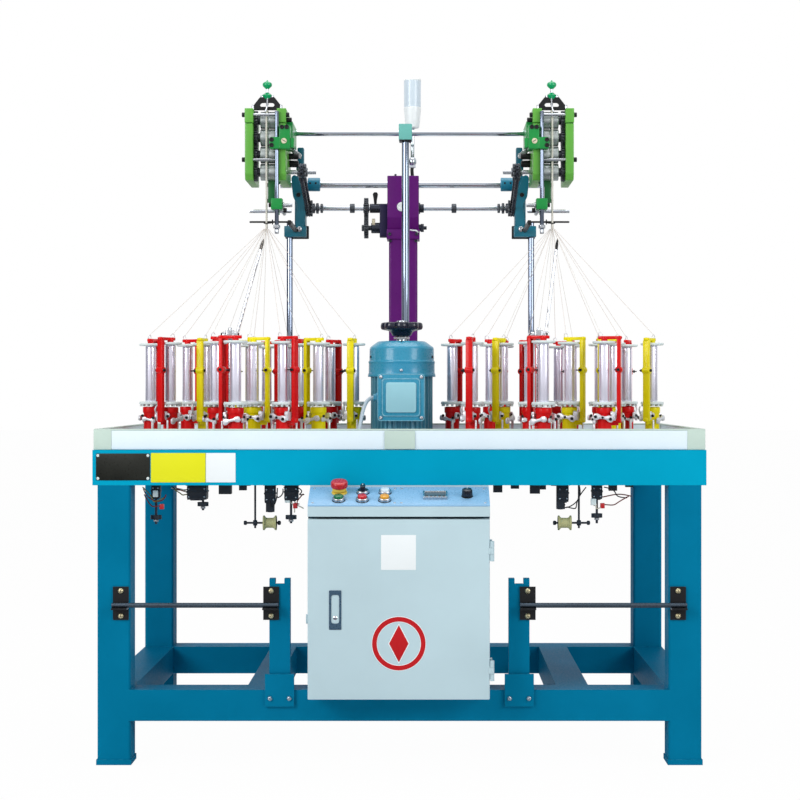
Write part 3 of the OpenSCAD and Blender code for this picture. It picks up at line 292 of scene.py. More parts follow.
def tube(path, d, sides=12, up=(0, 0, 1)):
    """A circle of diameter d, or of one diameter to a point, carried along a path with its side at way x up."""
    p = np.array(path, float)
    side = unit(np.cross(unit(np.gradient(p, axis=0)), np.array(up, float)))
    r = np.broadcast_to(np.asarray(d, float) / 2, (len(p),))[:, None]
    return swept(p, r, np.arange(sides) / sides * 2 * np.pi, side)


def line_between(a, b, n):
    """n points on the straight line from a to b."""
    t = np.linspace(0, 1, n)[:, None]
    return np.array(a, float) * (1 - t) + np.array(b, float) * t


def smooth_path(points, steps=6):
    """A curve through the points, each stretch a cubic whose slopes are half the way between its neighbours."""
    p = np.array(points, float)
    q = np.vstack([2 * p[0] - p[1], p, 2 * p[-1] - p[-2]])
    t = np.linspace(0, 1, steps, endpoint=False)[None, :, None]
    a, b, c, d = q[:-3, None], q[1:-2, None], q[2:-1, None], q[3:, None]
    s = 0.5 * (2 * b + (c - a) * t + (2 * a - 5 * b + 4 * c - d) * t ** 2 + (3 * b - a - 3 * c + d) * t ** 3)
    return np.vstack([s.reshape(-1, p.shape[1]), p[-1:]])


print("a path of three points has", len(smooth_path([(0, 0, 0), (1, 0, 0), (1, 1, 0)])), "steps")

# %% [markdown]
# Gears and rings. A gear needs only four points to a tooth to catch the light like the real one. A
# plate with a hole is one closed section carried round both outlines, so it has no seam.
# %% Gears and plates with a hole


def gear_outline(m, z, add=0.78, ded=1.05):
    """Four points for each of z teeth of module m: two on the root circle and two on the tip circle."""
    a = np.arange(z)[:, None] * 2 * np.pi / z + np.array([-0.3, -0.12, 0.12, 0.3]) * 2 * np.pi / z
    r = m * z / 2 + np.array([-ded, add, add, -ded]) * m
    return polar(r, a).reshape(-1, 2)


def holed(outline, hole, h, edge=0.6):
    """A plate of height h between an outline and a hole of as many points: a section carried round both."""
    o, i, e = np.array(outline, float), np.array(hole, float), edge
    q = [(o, e, 0), (o, 0, e), (o, 0, h - e), (o, e, h), (i, -e, h), (i, 0, h - e), (i, 0, e), (i, -e, 0)]
    rows = np.stack([np.hstack([inset(c, k), np.full((len(c), 1), z)]) for c, k, z in q])
    return rows.reshape(-1, 3), [closed_grid(*rows.shape[:2])]


def circle_points(d, n=32):
    """A circle of diameter d as n points."""
    return polar(d / 2, np.arange(n) / n * 2 * np.pi)


print("a gear of 24 teeth has", len(gear_outline(2.3, 24)), "points")

# %% [markdown]
# Places and pieces. Shapes are turned and moved as numbers while they are made, so the finished object
# sits at the origin, unturned. One call makes the mesh, gives each group of faces its finish, and says
# which body it rides on and which solids it stands for.
# %% Places and pieces


def put(shape, at=(0, 0, 0), turn=(0, 0, 0), size=(1, 1, 1)):
    """Scales, then turns about X, Y and Z in degrees, then moves. A mirrored shape has its faces turned over."""
    v, f = shape
    v = v * np.array(size, float)
    if np.prod(size) < 0:
        f = [g[:, ::-1] for g in f]
    for axis, deg in enumerate(turn):
        if deg:
            c, s = math.cos(math.radians(deg)), math.sin(math.radians(deg))
            i, j = [(1, 2), (2, 0), (0, 1)][axis]
            w = v.copy()
            w[:, i], w[:, j] = c * v[:, i] - s * v[:, j], s * v[:, i] + c * v[:, j]
            v = w
    return v + np.array(at, float), f


def added(shapes):
    """Many shapes as one: their points in a row, and their faces counted on."""
    v, f, n = [], {}, 0
    for sv, sf in shapes:
        for g in sf:
            f.setdefault(g.shape[1], []).append(g + n)
        v.append(sv)
        n += len(sv)
    return np.vstack(v), [np.vstack(g) for g in f.values()]


ALONG_X, BACK_X, ALONG_Y, TO_FRONT = (0, 90, 0), (0, -90, 0), (-90, 0, 0), (90, 0, 0)


def piece(name, body, parts, stands_for=(), angle=38):
    """One object from {material: shapes}, in metres, riding on a body. Edges sharper than the angle stay crisp."""
    vs, faces, mats, n = [], [], [], 0
    for k, (mat, shapes) in enumerate(parts.items()):
        v, f = added(shapes if isinstance(shapes, list) else [shapes])
        vs.append(v)
        faces += [g + n for g in f]
        mats += [np.full(len(g), k) for g in f]
        n += len(v)
    v = np.vstack(vs) * MM
    total = np.concatenate([np.full(len(g), g.shape[1]) for g in faces])
    loops = np.concatenate([g.ravel() for g in faces])
    me = bpy.data.meshes.new(name)
    me.vertices.add(len(v))
    me.vertices.foreach_set("co", v.astype(np.float32).ravel())
    me.loops.add(len(loops))
    me.loops.foreach_set("vertex_index", loops.astype(np.int32))
    me.polygons.add(len(total))
    me.polygons.foreach_set("loop_start", np.concatenate([[0], np.cumsum(total)[:-1]]).astype(np.int32))
    me.update(calc_edges=True)
    me.polygons.foreach_set("material_index", np.concatenate(mats).astype(np.int32))
    me.validate()
    me.shade_smooth()
    me.set_sharp_from_angle(angle=math.radians(angle))
    for mat in parts:
        me.materials.append(FINISH[mat])
    o = bpy.data.objects.new(name, me)
    scene.collection.objects.link(o)
    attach(o, body)
    if stands_for:
        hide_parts(*stands_for)
    return o


print("turns to X, back, to Y and to the front", ALONG_X, BACK_X, ALONG_Y, TO_FRONT)

# %% [markdown]
# Finishes. Real paint is never one flat colour: it is a little thinner at the edges, it has the
# dimple of the spray gun, and hands and rags polish it in places. Each such effect is one shader node
# group with named inputs, made once and used by many finishes. Two helpers keep that short.
# %% Node helpers


def effect(name, ins, outs):
    """An empty node group with those inputs (name, kind, value) and outputs (name, kind)."""
    g = bpy.data.node_groups.new(name, "ShaderNodeTree")
    for n, kind, value in ins:
        s = g.interface.new_socket(n, in_out="INPUT", socket_type="NodeSocket" + kind)
        if value is not None:
            s.default_value = value
    for n, kind in outs:
        g.interface.new_socket(n, in_out="OUTPUT", socket_type="NodeSocket" + kind)
    return g, g.nodes.new("NodeGroupInput"), g.nodes.new("NodeGroupOutput")


def node(tree, kind, **values):
    """A node with its plain settings, and its inputs set by name or number."""
    n = tree.nodes.new("ShaderNode" + kind)
    for k, v in values.items():
        if hasattr(n, k):
            setattr(n, k, v)
        else:
            n.inputs[int(k[1:]) if k[0] == "i" and k[1:].isdigit() else k].default_value = v
    return n


FINISH = {}
print("finishes so far", len(FINISH))

# %% [markdown]
# Three shared effects: edge wear, which compares the true normal with one rounded over a small
# radius, so that it finds edges for worn paint and for painted edge highlights; grain, which gives
# slow blotches and fine specks; and brush marks for ground steel.
# %% Shared effects


def edge_wear_and_highlight():
    """Mask = how far the rounded normal leans from the true one, broken up by noise. Normal = the rounded one."""
    g, i, o = effect("edge_wear_and_highlight", [("Vector", "Vector", None), ("Radius", "Float", 0.0015), ("Amount", "Float", 0.5)],
                     [("Mask", "Float"), ("Normal", "Vector")])
    bevel, geo = node(g, "Bevel", samples=4), node(g, "NewGeometry")
    dot = node(g, "VectorMath", operation="DOT_PRODUCT")
    lean = node(g, "MapRange", **{"From Min": 0.995, "From Max": 0.80})
    noise = node(g, "TexNoise", Scale=90.0, Detail=3.0)
    patch = node(g, "MapRange", **{"From Min": 0.42, "From Max": 0.62})
    mul, amount = node(g, "Math", operation="MULTIPLY"), node(g, "Math", operation="MULTIPLY")
    L = g.links.new
    L(i.outputs["Radius"], bevel.inputs["Radius"])
    L(bevel.outputs[0], dot.inputs[0])
    L(geo.outputs["Normal"], dot.inputs[1])
    L(dot.outputs["Value"], lean.inputs["Value"])
    L(i.outputs["Vector"], noise.inputs["Vector"])
    L(noise.outputs["Fac"], patch.inputs["Value"])
    L(lean.outputs[0], mul.inputs[0])
    L(patch.outputs[0], mul.inputs[1])
    L(mul.outputs[0], amount.inputs[0])
    L(i.outputs["Amount"], amount.inputs[1])
    L(amount.outputs[0], o.inputs["Mask"])
    L(bevel.outputs[0], o.inputs["Normal"])
    return g


def grain():
    """Tone = slow blotches, Fine = specks, Height = the dimple of sprayed paint."""
    g, i, o = effect("grain", [("Vector", "Vector", None), ("Blotch", "Float", 5.0), ("Speck", "Float", 220.0)],
                     [("Tone", "Float"), ("Fine", "Float"), ("Height", "Float")])
    L = g.links.new
    for kind, scale, detail, out in (("Tone", "Blotch", 4.0, "Tone"), ("Fine", "Speck", 2.0, "Fine")):
        n = node(g, "TexNoise", Detail=detail)
        L(i.outputs["Vector"], n.inputs["Vector"])
        L(i.outputs[scale], n.inputs["Scale"])
        L(n.outputs["Fac"], o.inputs[out])
    v = node(g, "TexNoise", Scale=420.0, Detail=1.0)
    L(i.outputs["Vector"], v.inputs["Vector"])
    L(v.outputs["Fac"], o.inputs["Height"])
    return g


def brushed():
    """Streaks: noise on coordinates stretched along one axis, so that it turns into long fine lines."""
    g, i, o = effect("brushed", [("Vector", "Vector", None), ("Stretch", "Vector", (1.0, 1.0, 1.0))],
                     [("Streak", "Float")])
    mul = node(g, "VectorMath", operation="MULTIPLY")
    n = node(g, "TexNoise", Scale=400.0, Detail=2.0)
    g.links.new(i.outputs["Vector"], mul.inputs[0])
    g.links.new(i.outputs["Stretch"], mul.inputs[1])
    g.links.new(mul.outputs[0], n.inputs["Vector"])
    g.links.new(n.outputs["Fac"], o.inputs["Streak"])
    return g


EFFECT = {"wear": edge_wear_and_highlight(), "grain": grain(), "brushed": brushed()}
print("effects", sorted(EFFECT))

# %% [markdown]
# One recipe makes every hard finish. Its colour is given as seen on screen and made linear. Blotches
# move it a little lighter and darker, edges take a worn colour, specks move the roughness up and down,
# and a very low bump gives the spray dimple or the brush marks. The worn colour is the colour below;
# on the frame and the motor it is brighter than the paint, and there it is partly a painted highlight.
# %% The recipe for hard finishes


def seen(rgb):
    """Screen values 0 to 255 as linear light: ((v + 0.055) / 1.055) ^ 2.4."""
    v = np.array(rgb, float) / 255
    v = np.where(v <= 0.04045, v / 12.92, ((v + 0.055) / 1.055) ** 2.4)
    return (float(v[0]), float(v[1]), float(v[2]), 1.0)


def shared(t, kind, place, **values):
    """A shared effect in a material: its inputs are set, and it gets the surface's coordinates."""
    n = t.nodes.new("ShaderNodeGroup")
    n.node_tree = EFFECT[kind]
    for k, v in values.items():
        n.inputs[k].default_value = v
    t.links.new(place.outputs["Object"], n.inputs["Vector"])
    return n


PAINT_SHINE, EDGE_RADIUS, SPECKS = 0.28, 0.0012, 220.0


def hard(name, colour, worn=None, rough=0.35, wear=0.5, tone=0.10, metal=0.0, coat=0.0, blotch=5.0,
         bump=0.03, streak=None, vary=0.10, glow=None, shine=None):
    """Base = colour x (1 +- tone), with the worn colour on the edges, which is wear and, where it is brighter than
    the paint, partly a painted highlight; roughness = rough +- vary; bump from dimple or streak.
    """
    m = bpy.data.materials.new(name)
    m.use_nodes = True
    t = m.node_tree
    p, L = t.nodes["Principled BSDF"].inputs, t.links.new
    place = node(t, "TexCoord")
    w = shared(t, "wear", place, Radius=EDGE_RADIUS, Amount=wear)
    g = shared(t, "grain", place, Blotch=blotch, Speck=SPECKS)
    c = seen(colour)[:3]
    ramp = node(t, "ValToRGB")
    low, high = ramp.color_ramp.elements
    low.position, high.position = 0.3, 0.7
    low.color = (*[max(0.0, x * (1 - tone)) for x in c], 1)
    high.color = (*[min(1.0, x * (1 + tone) + 0.01 * tone) for x in c], 1)
    L(g.outputs["Tone"], ramp.inputs[0])
    paler = (*[min(1, x * 1.4 + 0.03) for x in c], 1)
    # The edge mask mixes in the worn colour: wear, and where that colour is bright, as on the frame and motor paints,
    # partly a painted highlight.
    mix = node(t, "Mix", data_type="RGBA", i0=0.0, i7=seen(worn) if worn else paler)
    L(ramp.outputs[0], mix.inputs[6])
    L(mix.outputs[2], p["Base Color"])
    r = node(t, "MapRange", **{"From Min": 0.3, "From Max": 0.7, "To Min": max(0.02, rough - vary),
                               "To Max": min(1, rough + vary)})
    source, height = g.outputs["Fine"], g.outputs["Height"]
    if streak:
        source = height = shared(t, "brushed", place, Stretch=streak).outputs["Streak"]
    L(source, r.inputs["Value"])
    L(r.outputs[0], p["Roughness"])
    bp = node(t, "Bump", Strength=bump, Distance=0.001)
    L(height, bp.inputs["Height"])
    L(bp.outputs[0], p["Normal"])
    if wear:
        L(w.outputs["Mask"], mix.inputs[0])
        L(w.outputs["Normal"], bp.inputs["Normal"])
    p["Metallic"].default_value = metal
    if not metal:
        p["Specular IOR Level"].default_value = PAINT_SHINE if shine is None else shine
    if coat:
        p["Coat Weight"].default_value, p["Coat Roughness"].default_value = coat, 0.12
    if glow:
        p["Emission Color"].default_value, p["Emission Strength"].default_value = seen(glow[0]), glow[1]
    FINISH[name] = m


print("screen grey 128 is", round(seen((128, 128, 128))[0], 3), "in linear light")

# %% [markdown]
# The finishes themselves, one row to each paint, metal or moulding of the real machine. Gloss paints
# get a thin clear coat, bare metals a high metallic value, and ground steel gets its brush marks.
# %% Table of finishes
# each row: name, colour, worn edge colour (on frame_blue and motor_blue partly a painted highlight), roughness, wear,
# tone, and what else the finish has
FINISH_ROWS = (
    # frame_blue's pale cyan edge colour is partly wear and partly a painted highlight along the tube edges.
    ("frame_blue", (0, 116, 154), (70, 176, 206), 0.45, 0.6, 0.1, dict(shine=0.02)),
    ("table_cyan", (0, 160, 196), (70, 186, 212), 0.42, 0.4, 0.05, dict(shine=0.03)),
    ("deck_steel", (176, 182, 184), None, 0.34, 0.3, 0.1, dict(metal=0.9, streak=(1, 0.04, 1), bump=0.02)),
    ("tray_pale", (196, 216, 206), (235, 240, 236), 0.4, 0.5, 0.05),
    ("tray_front", (228, 243, 252), (250, 252, 255), 0.35, 0.3, 0.03),
    ("black_paint", (22, 23, 26), (90, 92, 96), 0.4, 0.6, 0.2),
    ("cabinet_pale", (188, 212, 220), (225, 235, 238), 0.42, 0.4, 0.04, dict(coat=0.15, bump=0.05)),
    ("panel_blue", (146, 194, 232), (205, 228, 244), 0.32, 0.4, 0.05),
    # A dark colour for the gap above the door: painted shade.
    ("seam_dark", (30, 62, 78), None, 0.5, 0.2, 0.1),
    ("red_gloss", (196, 28, 36), (225, 90, 90), 0.28, 0.35, 0.1, dict(coat=0.5)),
    ("green_gloss", (10, 116, 72), None, 0.3, 0.3, 0.1, dict(coat=0.4)),
    ("amber_gloss", (226, 160, 40), None, 0.3, 0.3, 0.1, dict(coat=0.5)),
    ("collar_yellow", (240, 205, 80), None, 0.4, 0.3, 0.1),
    ("lens_white", (214, 232, 246), None, 0.25, 0.2, 0.1, dict(coat=0.5)),
    ("knob_black", (20, 24, 38), (80, 84, 96), 0.3, 0.4, 0.1, dict(coat=0.3)),
    ("screen_dark", (88, 108, 120), None, 0.15, 0.1, 0.1),
    # motor_blue's pale edge colour is partly wear and partly a painted highlight on the motor's edges.
    ("motor_blue", (52, 150, 184), (150, 206, 224), 0.3, 0.7, 0.1, dict(coat=0.35)),
    ("motor_lid", (158, 212, 226), (205, 230, 235), 0.4, 0.5, 0.06, dict(coat=0.2)),
    ("motor_fins", (84, 150, 172), (160, 206, 220), 0.34, 0.7, 0.12, dict(coat=0.2)),
    # Paler blue rings on the terminal box's edges: a painted highlight, partly worn paint.
    ("motor_edge", (120, 188, 210), (190, 224, 234), 0.32, 0.6, 0.1, dict(coat=0.3)),
    ("wheel_black", (18, 24, 44), (70, 76, 96), 0.26, 0.4, 0.1, dict(coat=0.4)),
    ("purple", (98, 20, 116), (150, 96, 170), 0.36, 0.5, 0.1, dict(coat=0.08, shine=0.12)),
    ("navy", (34, 26, 72), (90, 85, 130), 0.4, 0.5, 0.1),
    ("lime", (98, 174, 66), (170, 214, 130), 0.38, 0.6, 0.12, dict(coat=0.2)),
    ("green_cast", (26, 144, 66), (100, 196, 124), 0.38, 0.6, 0.15, dict(coat=0.2, shine=0.2)),
    ("green_dark", (20, 98, 50), (80, 150, 100), 0.42, 0.5, 0.15),
    ("knob_green", (0, 160, 100), (90, 205, 160), 0.3, 0.4, 0.1, dict(coat=0.4)),
    ("teal", (14, 104, 126), (90, 160, 175), 0.38, 0.6, 0.15, dict(coat=0.25)),
    ("teal_bright", (18, 128, 160), (110, 185, 200), 0.36, 0.5, 0.1, dict(coat=0.3)),
    ("teal_pale", (112, 188, 180), (180, 220, 215), 0.42, 0.5, 0.12),
    ("chrome", (204, 210, 220), None, 0.1, 0.0, 0.03, dict(metal=1.0, vary=0.02, bump=0.0)),
    # A darker copy of the chrome for the upright posts and rods: painted shade.
    ("chrome_deep", (132, 143, 162), None, 0.1, 0.0, 0.03, dict(metal=1.0, vary=0.02, bump=0.0)),
    ("steel", (186, 190, 196), (225, 228, 232), 0.26, 0.4, 0.1, dict(metal=1.0, vary=0.08, bump=0.01)),
    ("steel_dark", (58, 62, 72), (160, 165, 172), 0.34, 0.6, 0.1, dict(metal=0.9)),
    ("roller", (182, 190, 190), (225, 228, 230), 0.36, 0.5, 0.1, dict(metal=0.8, streak=(0.08, 1, 1), bump=0.08)),
    ("gear_iron", (84, 88, 94), (190, 194, 198), 0.38, 0.7, 0.1, dict(metal=0.9)),
    ("brass", (222, 210, 168), (245, 236, 205), 0.3, 0.4, 0.1, dict(metal=0.75)),
    ("cream", (226, 218, 190), None, 0.4, 0.3, 0.1),
    ("carrier_red", (222, 10, 14), (240, 96, 88), 0.34, 0.5, 0.1, dict(coat=0.16, shine=0.16)),
    ("carrier_yellow", (242, 226, 0), (255, 245, 130), 0.34, 0.4, 0.08, dict(coat=0.16, shine=0.16)),
    ("bobbin_white", (224, 236, 236), (245, 250, 250), 0.45, 0.3, 0.04),
    ("barrel", (238, 236, 252), None, 0.17, 0.0, 0.02, dict(metal=0.6, vary=0.02, bump=0.0)),
    ("lever_steel", (224, 226, 232), (246, 246, 250), 0.34, 0.5, 0.06, dict(metal=0.35)),
    ("plate_yellow", (226, 226, 20), None, 0.4, 0.3, 0.04),
    ("plate_white", (240, 246, 248), None, 0.4, 0.2, 0.02),
    ("latch_case", (70, 98, 122), (150, 172, 190), 0.3, 0.5, 0.1, dict(metal=0.5)),
    ("plate_black", (24, 26, 20), (70, 72, 64), 0.35, 0.4, 0.3, dict(blotch=12.0)),
    ("warn_red", (190, 12, 22), None, 0.42, 0.2, 0.05),
    ("conduit", (196, 214, 226), None, 0.4, 0.3, 0.1),
    ("rod_grey", (74, 86, 98), (170, 178, 186), 0.32, 0.4, 0.1, dict(metal=0.8)),
    ("block_dark", (30, 38, 48), (96, 104, 112), 0.42, 0.5, 0.2),
    ("spool_cream", (176, 176, 128), (214, 212, 176), 0.42, 0.4, 0.1),
    ("wire_red", (120, 30, 24), None, 0.45, 0.1, 0.1),
    ("wire_black", (34, 34, 36), None, 0.45, 0.1, 0.1),
    ("wire_cream", (196, 190, 176), None, 0.45, 0.1, 0.1),
    ("wire_olive", (128, 122, 60), None, 0.45, 0.1, 0.1),
)
for name, colour, worn, rough, wear, tone, *more in FINISH_ROWS:
    hard(name, colour, worn, rough, wear, tone, **(more[0] if more else {}))
print("finishes", len(FINISH))

# %% [markdown]
# The stand is welded from square tube. The frame's solids already have the tube's rounded corners,
# so they keep their shape and get paint. What the solids leave out is added: weld beads where rails
# meet legs, and the screws of the front posts.
# %% Stand and table
LEG_X, LEG_S, RAIL_TOP, TABLE_Z, RIM_TOP, DECK_TOP = 688.7, 80, 181, 674, 759, 769
BACK_Y = 469.5


def dress(name, finish):
    """Gives a solid of the frame its finish and keeps it as it is."""
    o = frame["nodes"][name]
    o.data.materials.clear()
    o.data.materials.append(FINISH[finish])


def face_middles(node_name):
    """The middle of each face of a solid, in mm."""
    faces = frame["nodes"][node_name].data.polygons
    middle = np.zeros(len(faces) * 3)
    faces.foreach_get("center", middle)
    return middle.reshape(-1, 3) / MM


for name, finish in (("stand_frame", "frame_blue"), ("table_bed", "table_cyan"), ("track_deck", "deck_steel"),
                     ("guard_rods", "black_paint"), ("cabinet_body", "cabinet_pale")):
    dress(name, finish)
guards = frame["nodes"]["guard_rods"].data
guards.materials.append(FINISH["rod_grey"])
from_middle = np.abs(face_middles("guard_rods")[:, 0])    # the rods lie between their brackets
guards.polygons.foreach_set("material_index", ((from_middle > 328) & (from_middle < 654)).astype(int))


def bead(a, b, d=5.0, ripple=1.4):
    """A weld bead from a to b: a thin tube whose diameter at point i is d (1 + 0.14 sin(ripple i))."""
    n = max(12, int(np.linalg.norm(np.subtract(b, a)) / 2.2))
    size = d * (1 + 0.14 * np.sin(np.arange(n) * ripple))
    size[[0, -1]] = d * 0.3
    up = (0, 1, 0) if abs(b[2] - a[2]) > 1 else (0, 0, 1)
    return tube(line_between(a, b, n), size, 6, up)


welds = []
for side in (-1, 1):
    x = side * (LEG_X - LEG_S / 2)
    welds += [bead((x, y, 110), (x, y, RAIL_TOP - 3)) for y in (FRONT_Y + 8, BACK_Y - 8)]
    welds.append(bead((x, FRONT_Y + 10, RAIL_TOP), (x, FRONT_Y + 72, RAIL_TOP)))
for x in (-372, -302, 382, 461):
    welds += [bead((x, y, 112), (x, y, 174)) for y in (FRONT_Y + 80, BACK_Y - 80)]
piece("weld_beads", "frame", {"frame_blue": welds})


def screw_head(d, h, kind="pan"):
    """A screw head along Z with its recess: a dome of revolution, or a socket cap with a round hole."""
    if kind == "pan":
        return solid([(d / 2, 0), (d / 2, h * 0.45), (d * 0.3, h * 0.9), (d * 0.12, h), (d * 0.1, h * 0.6)], 20, 0.5)
    return solid([(d / 2, 0), (d / 2, h), (d * 0.28, h), (d * 0.26, h * 0.4)], 20, 0.4)


brass = [put(screw_head(13, 5), (side * x, FRONT_Y - 4, z), TO_FRONT)
         for side in (-1, 1) for x in (309, 671) for z in (360, 420)]
pale = [put(screw_head(12, 5), (side * 288.5 + k * 23.3, FRONT_Y - 8, 161.5), TO_FRONT)
        for side in (-1, 1) for k in (-1, 1)]
piece("guard_screws", "frame", {"brass": brass, "steel": pale})
print("welds", len(welds), "screws", len(brass) + len(pale))

# %% [markdown]
# The tray's walls are folded sheet. Each long wall shows as a pale panel between two grey-green
# corner pieces, with a thin lip along its top. Below it the apron carries three bare plates, each
# held by rivets. They are thin sheets with rounded corners that stand a millimetre proud.
# %% Tray walls and plates
WIDE, DEEP, WALL_H, CORNER = 1475, 833, 51, 43
walls, fronts, corners = [], [], []
for way in (1, -1):
    y = MID_Y - way * DEEP / 2
    fronts.append(put(block(WIDE - 84, 6, WALL_H - 5, 0.8, 0.8), (0, y + way * 4.2, RIM_TOP + 1)))
    walls.append(put(block(WIDE, 9, 4, 0.8, 1.2), (0, y + way * 4.6, RIM_TOP + WALL_H - 4)))
for way in (1, -1):
    x = -way * WIDE / 2
    fronts.append(put(block(6, DEEP - 84, WALL_H - 5, 0.8, 0.8), (x + way * 4.2, MID_Y, RIM_TOP + 1)))
    walls.append(put(block(9, DEEP, 4, 0.8, 1.2), (x + way * 4.6, MID_Y, RIM_TOP + WALL_H - 4)))
for sx in (-1, 1):
    for sy in (-1, 1):    # each corner has a leg along either wall
        for w, d, inx, iny in ((CORNER, 9, CORNER / 2, 4.2), (9, CORNER, 4.2, CORNER / 2)):
            at = (sx * (WIDE / 2 - inx), MID_Y + sy * (DEEP / 2 - iny), RIM_TOP + 0.5)
            corners.append(put(block(w, d, WALL_H - 3, 1, 1.2), at))
piece("tray_walls_painted", "frame", {"tray_front": fronts, "tray_pale": walls + corners},
      ["tray_walls"])


def px_x(px, depth=0.0):
    """X of a picture column at a depth behind the front: EYE_X + (px - middle) * scale * (AWAY + depth) / AWAY."""
    return EYE_X + (px - PIXELS / 2 + SHIFT_X) * MM_PER_PIXEL * (AWAY + depth) / AWAY


def px_z(py, depth=0.0):
    """Z of a picture row at a depth behind the front plane."""
    return EYE_Z - (py - PIXELS / 2 - SHIFT_Y) * MM_PER_PIXEL * (AWAY + depth) / AWAY


def bare_plate(left, right, low, high, t=1.4, r=1, out=0.0):
    """A thin plate on the apron between two picture columns and two picture rows, its face towards the front."""
    x0, x1, z0, z1 = px_x(left), px_x(right), px_z(low), px_z(high)
    return put(block(x1 - x0, z1 - z0, t, r, 0.4), ((x0 + x1) / 2, FRONT_Y + out, (z0 + z1) / 2), TO_FRONT)


rivets = [put(screw_head(7, 2.4), (px_x(x), FRONT_Y - 1.4, px_z(z)), TO_FRONT)
          for x in (98, 148) for z in (455.5, 478.4)]
piece("tray_joint", "frame", {"tray_pale": bare_plate(384.5, 415, 449, 431, out=2.0)})
piece("apron_plates", "frame",
      {"plate_black": bare_plate(96, 150, 480.4, 453.5, r=3), "plate_yellow": bare_plate(150.9, 205.6, 482.5, 453),
       "plate_white": bare_plate(206, 235.6, 482.4, 453), "bobbin_white": rivets})
print("tray walls", len(walls) + len(fronts) + len(corners))

# %% [markdown]
# Below the table hang the stop motion's parts: dark switch blocks on threaded spindles with cross
# knobs, two cream spools on bent rods, nuts, and loose wires. The solids are there already, so each
# face only gets its finish by where it is. The covers, lugs, terminals and wires are added.
# %% What hangs below the table
HUNG_Y, SPOOL_DROP = FRONT_Y + LEG_S, 96
SPINDLES = ((-598, 82), (-483, 50), (-267, 82), (483, 78))    # X and the knob's drop
# the X, the width and the drop of each block
BLOCKS = ((-598, 20, 35), (-496, 46, 38), (-266, 32, 40), (483, 24, 37), (-318, 25, 47), (400, 25, 44))
STOPS = ((-318, 69), (394, 62))
SPOOLS = ((-355, -319), (439, 404))                           # X of the bent rod and of the spool
bed = frame["nodes"]["table_bed"].data
for name in ("block_dark", "steel_dark", "spool_cream"):
    bed.materials.append(FINISH[name])
middle = face_middles("table_bed")
hung = middle[:, 2] < TABLE_Z - 0.2
index = hung.astype(int)
for x, _ in SPINDLES:
    index[hung & (np.hypot(middle[:, 0] - x, middle[:, 1] - HUNG_Y) < 5)] = 2
for _, x in SPOOLS:
    index[hung & (np.abs(middle[:, 0] - x) < 17.5) & (np.abs(middle[:, 2] - TABLE_Z + SPOOL_DROP) < 19)] = 3
bed.polygons.foreach_set("material_index", index)


def under_table(shape, x, drop, turn=(0, 0, 0), y=0.0):
    """Puts a shape in the plane of the hanging parts, at a drop below the table."""
    return put(shape, (x, HUNG_Y + y, TABLE_Z - drop), turn)


def switch_body(x, w, drop):
    """A cover round a block, a little larger than it, with a ribbed waist, a foot and a flange."""
    return [under_table(block(w + 1.6, w + 1.6, drop - 8, 2.4, 0.9), x, drop - 3),
            under_table(block(w + 4, w + 3, 4.5, 1.6, 0.8), x, drop * 0.55),
            under_table(block(w * 0.72, w * 0.72, 6, 2, 0.9), x, drop + 2.4),
            under_table(block(w + 9, w * 0.8, 3, 1.4, 0.6), x, 4.2)]


def cross_knob():
    """A small hand knob on a spindle: a hub with four round wings, r(a) = 9 + 4.6 |cos 2a|."""
    a = np.arange(64) / 64 * 2 * np.pi
    r = 9 + 4.6 * np.abs(np.cos(2 * a))
    level = np.array([[0.86, -5.2], [1, -4], [1, 4], [0.86, 5.2]])
    return rings(polar(level[:, :1] * r, a, level[:, 1:]))


covers = [c for block_at in BLOCKS for c in switch_body(*block_at)]
screws = [under_table(screw_head(4.6, 2), x + side * (w / 2 - 4), drop * b, TO_FRONT, -w / 2 - 0.8)
          for x, w, drop in BLOCKS for side in (-1, 1) for b in (0.3, 0.82)]
knobs = [under_table(cross_knob(), x, knob) for x, knob in SPINDLES]
nuts = [under_table(turned([(3.2, 0), (6, 0), (6, 5), (3.2, 5)], 6), x, knob + 11) for x, knob in SPINDLES]
ends = [under_table(solid([(6.2, 0), (8, 2), (8, 9), (5.4, 11)], 16, top=11.4), x, drop + 1) for x, drop in STOPS]
spool = turned([(2.8, 0), (17, 0), (18.2, 1.2), (18.2, 3), (13.4, 7), (12.4, 9), (12.4, 24), (13.4, 26),
                (18.2, 30), (18.2, 31.8), (17, 33), (2.8, 33)], 36)
spools = [under_table(spool, x - 16.5, SPOOL_DROP, ALONG_X) for _, x in SPOOLS]
rod_end = solid([(4, 0), (5.4, 1.6), (5.4, 6), (3.6, 8)], 14, top=8.4)
rod_hub = solid([(6.2, 0), (6.8, 1), (6.8, 9), (6.2, 10)], 18)
pins = [under_table(shape, at, SPOOL_DROP, ALONG_X) for bent, x in SPOOLS
        for shape, at in ((rod_end, (bent + x) / 2 - 46), (rod_end, (bent + x) / 2 + 37), (rod_hub, bent - 5))]
lamps = [under_table(block(11, 9, 13, 2.4, 1), x, drop, y=-8) for x, drop in ((-583, 62), (-256, 60), (496, 60))]
holders = [under_table(block(13, 12, 16, 2, 1), x, drop, y=-9) for x, drop in ((-598, 32), (-275, 46), (474, 52))]
print("switch blocks", len(BLOCKS), "spindles", len(SPINDLES), "spools", len(SPOOLS))

# %% [markdown]
# Short hook-up wires join the hanging parts. Each is a straight line between two fittings plus a
# sag and a small sway, and the sway's random numbers have a seed, so every run gives the same wire.
# %% Hook-up wires


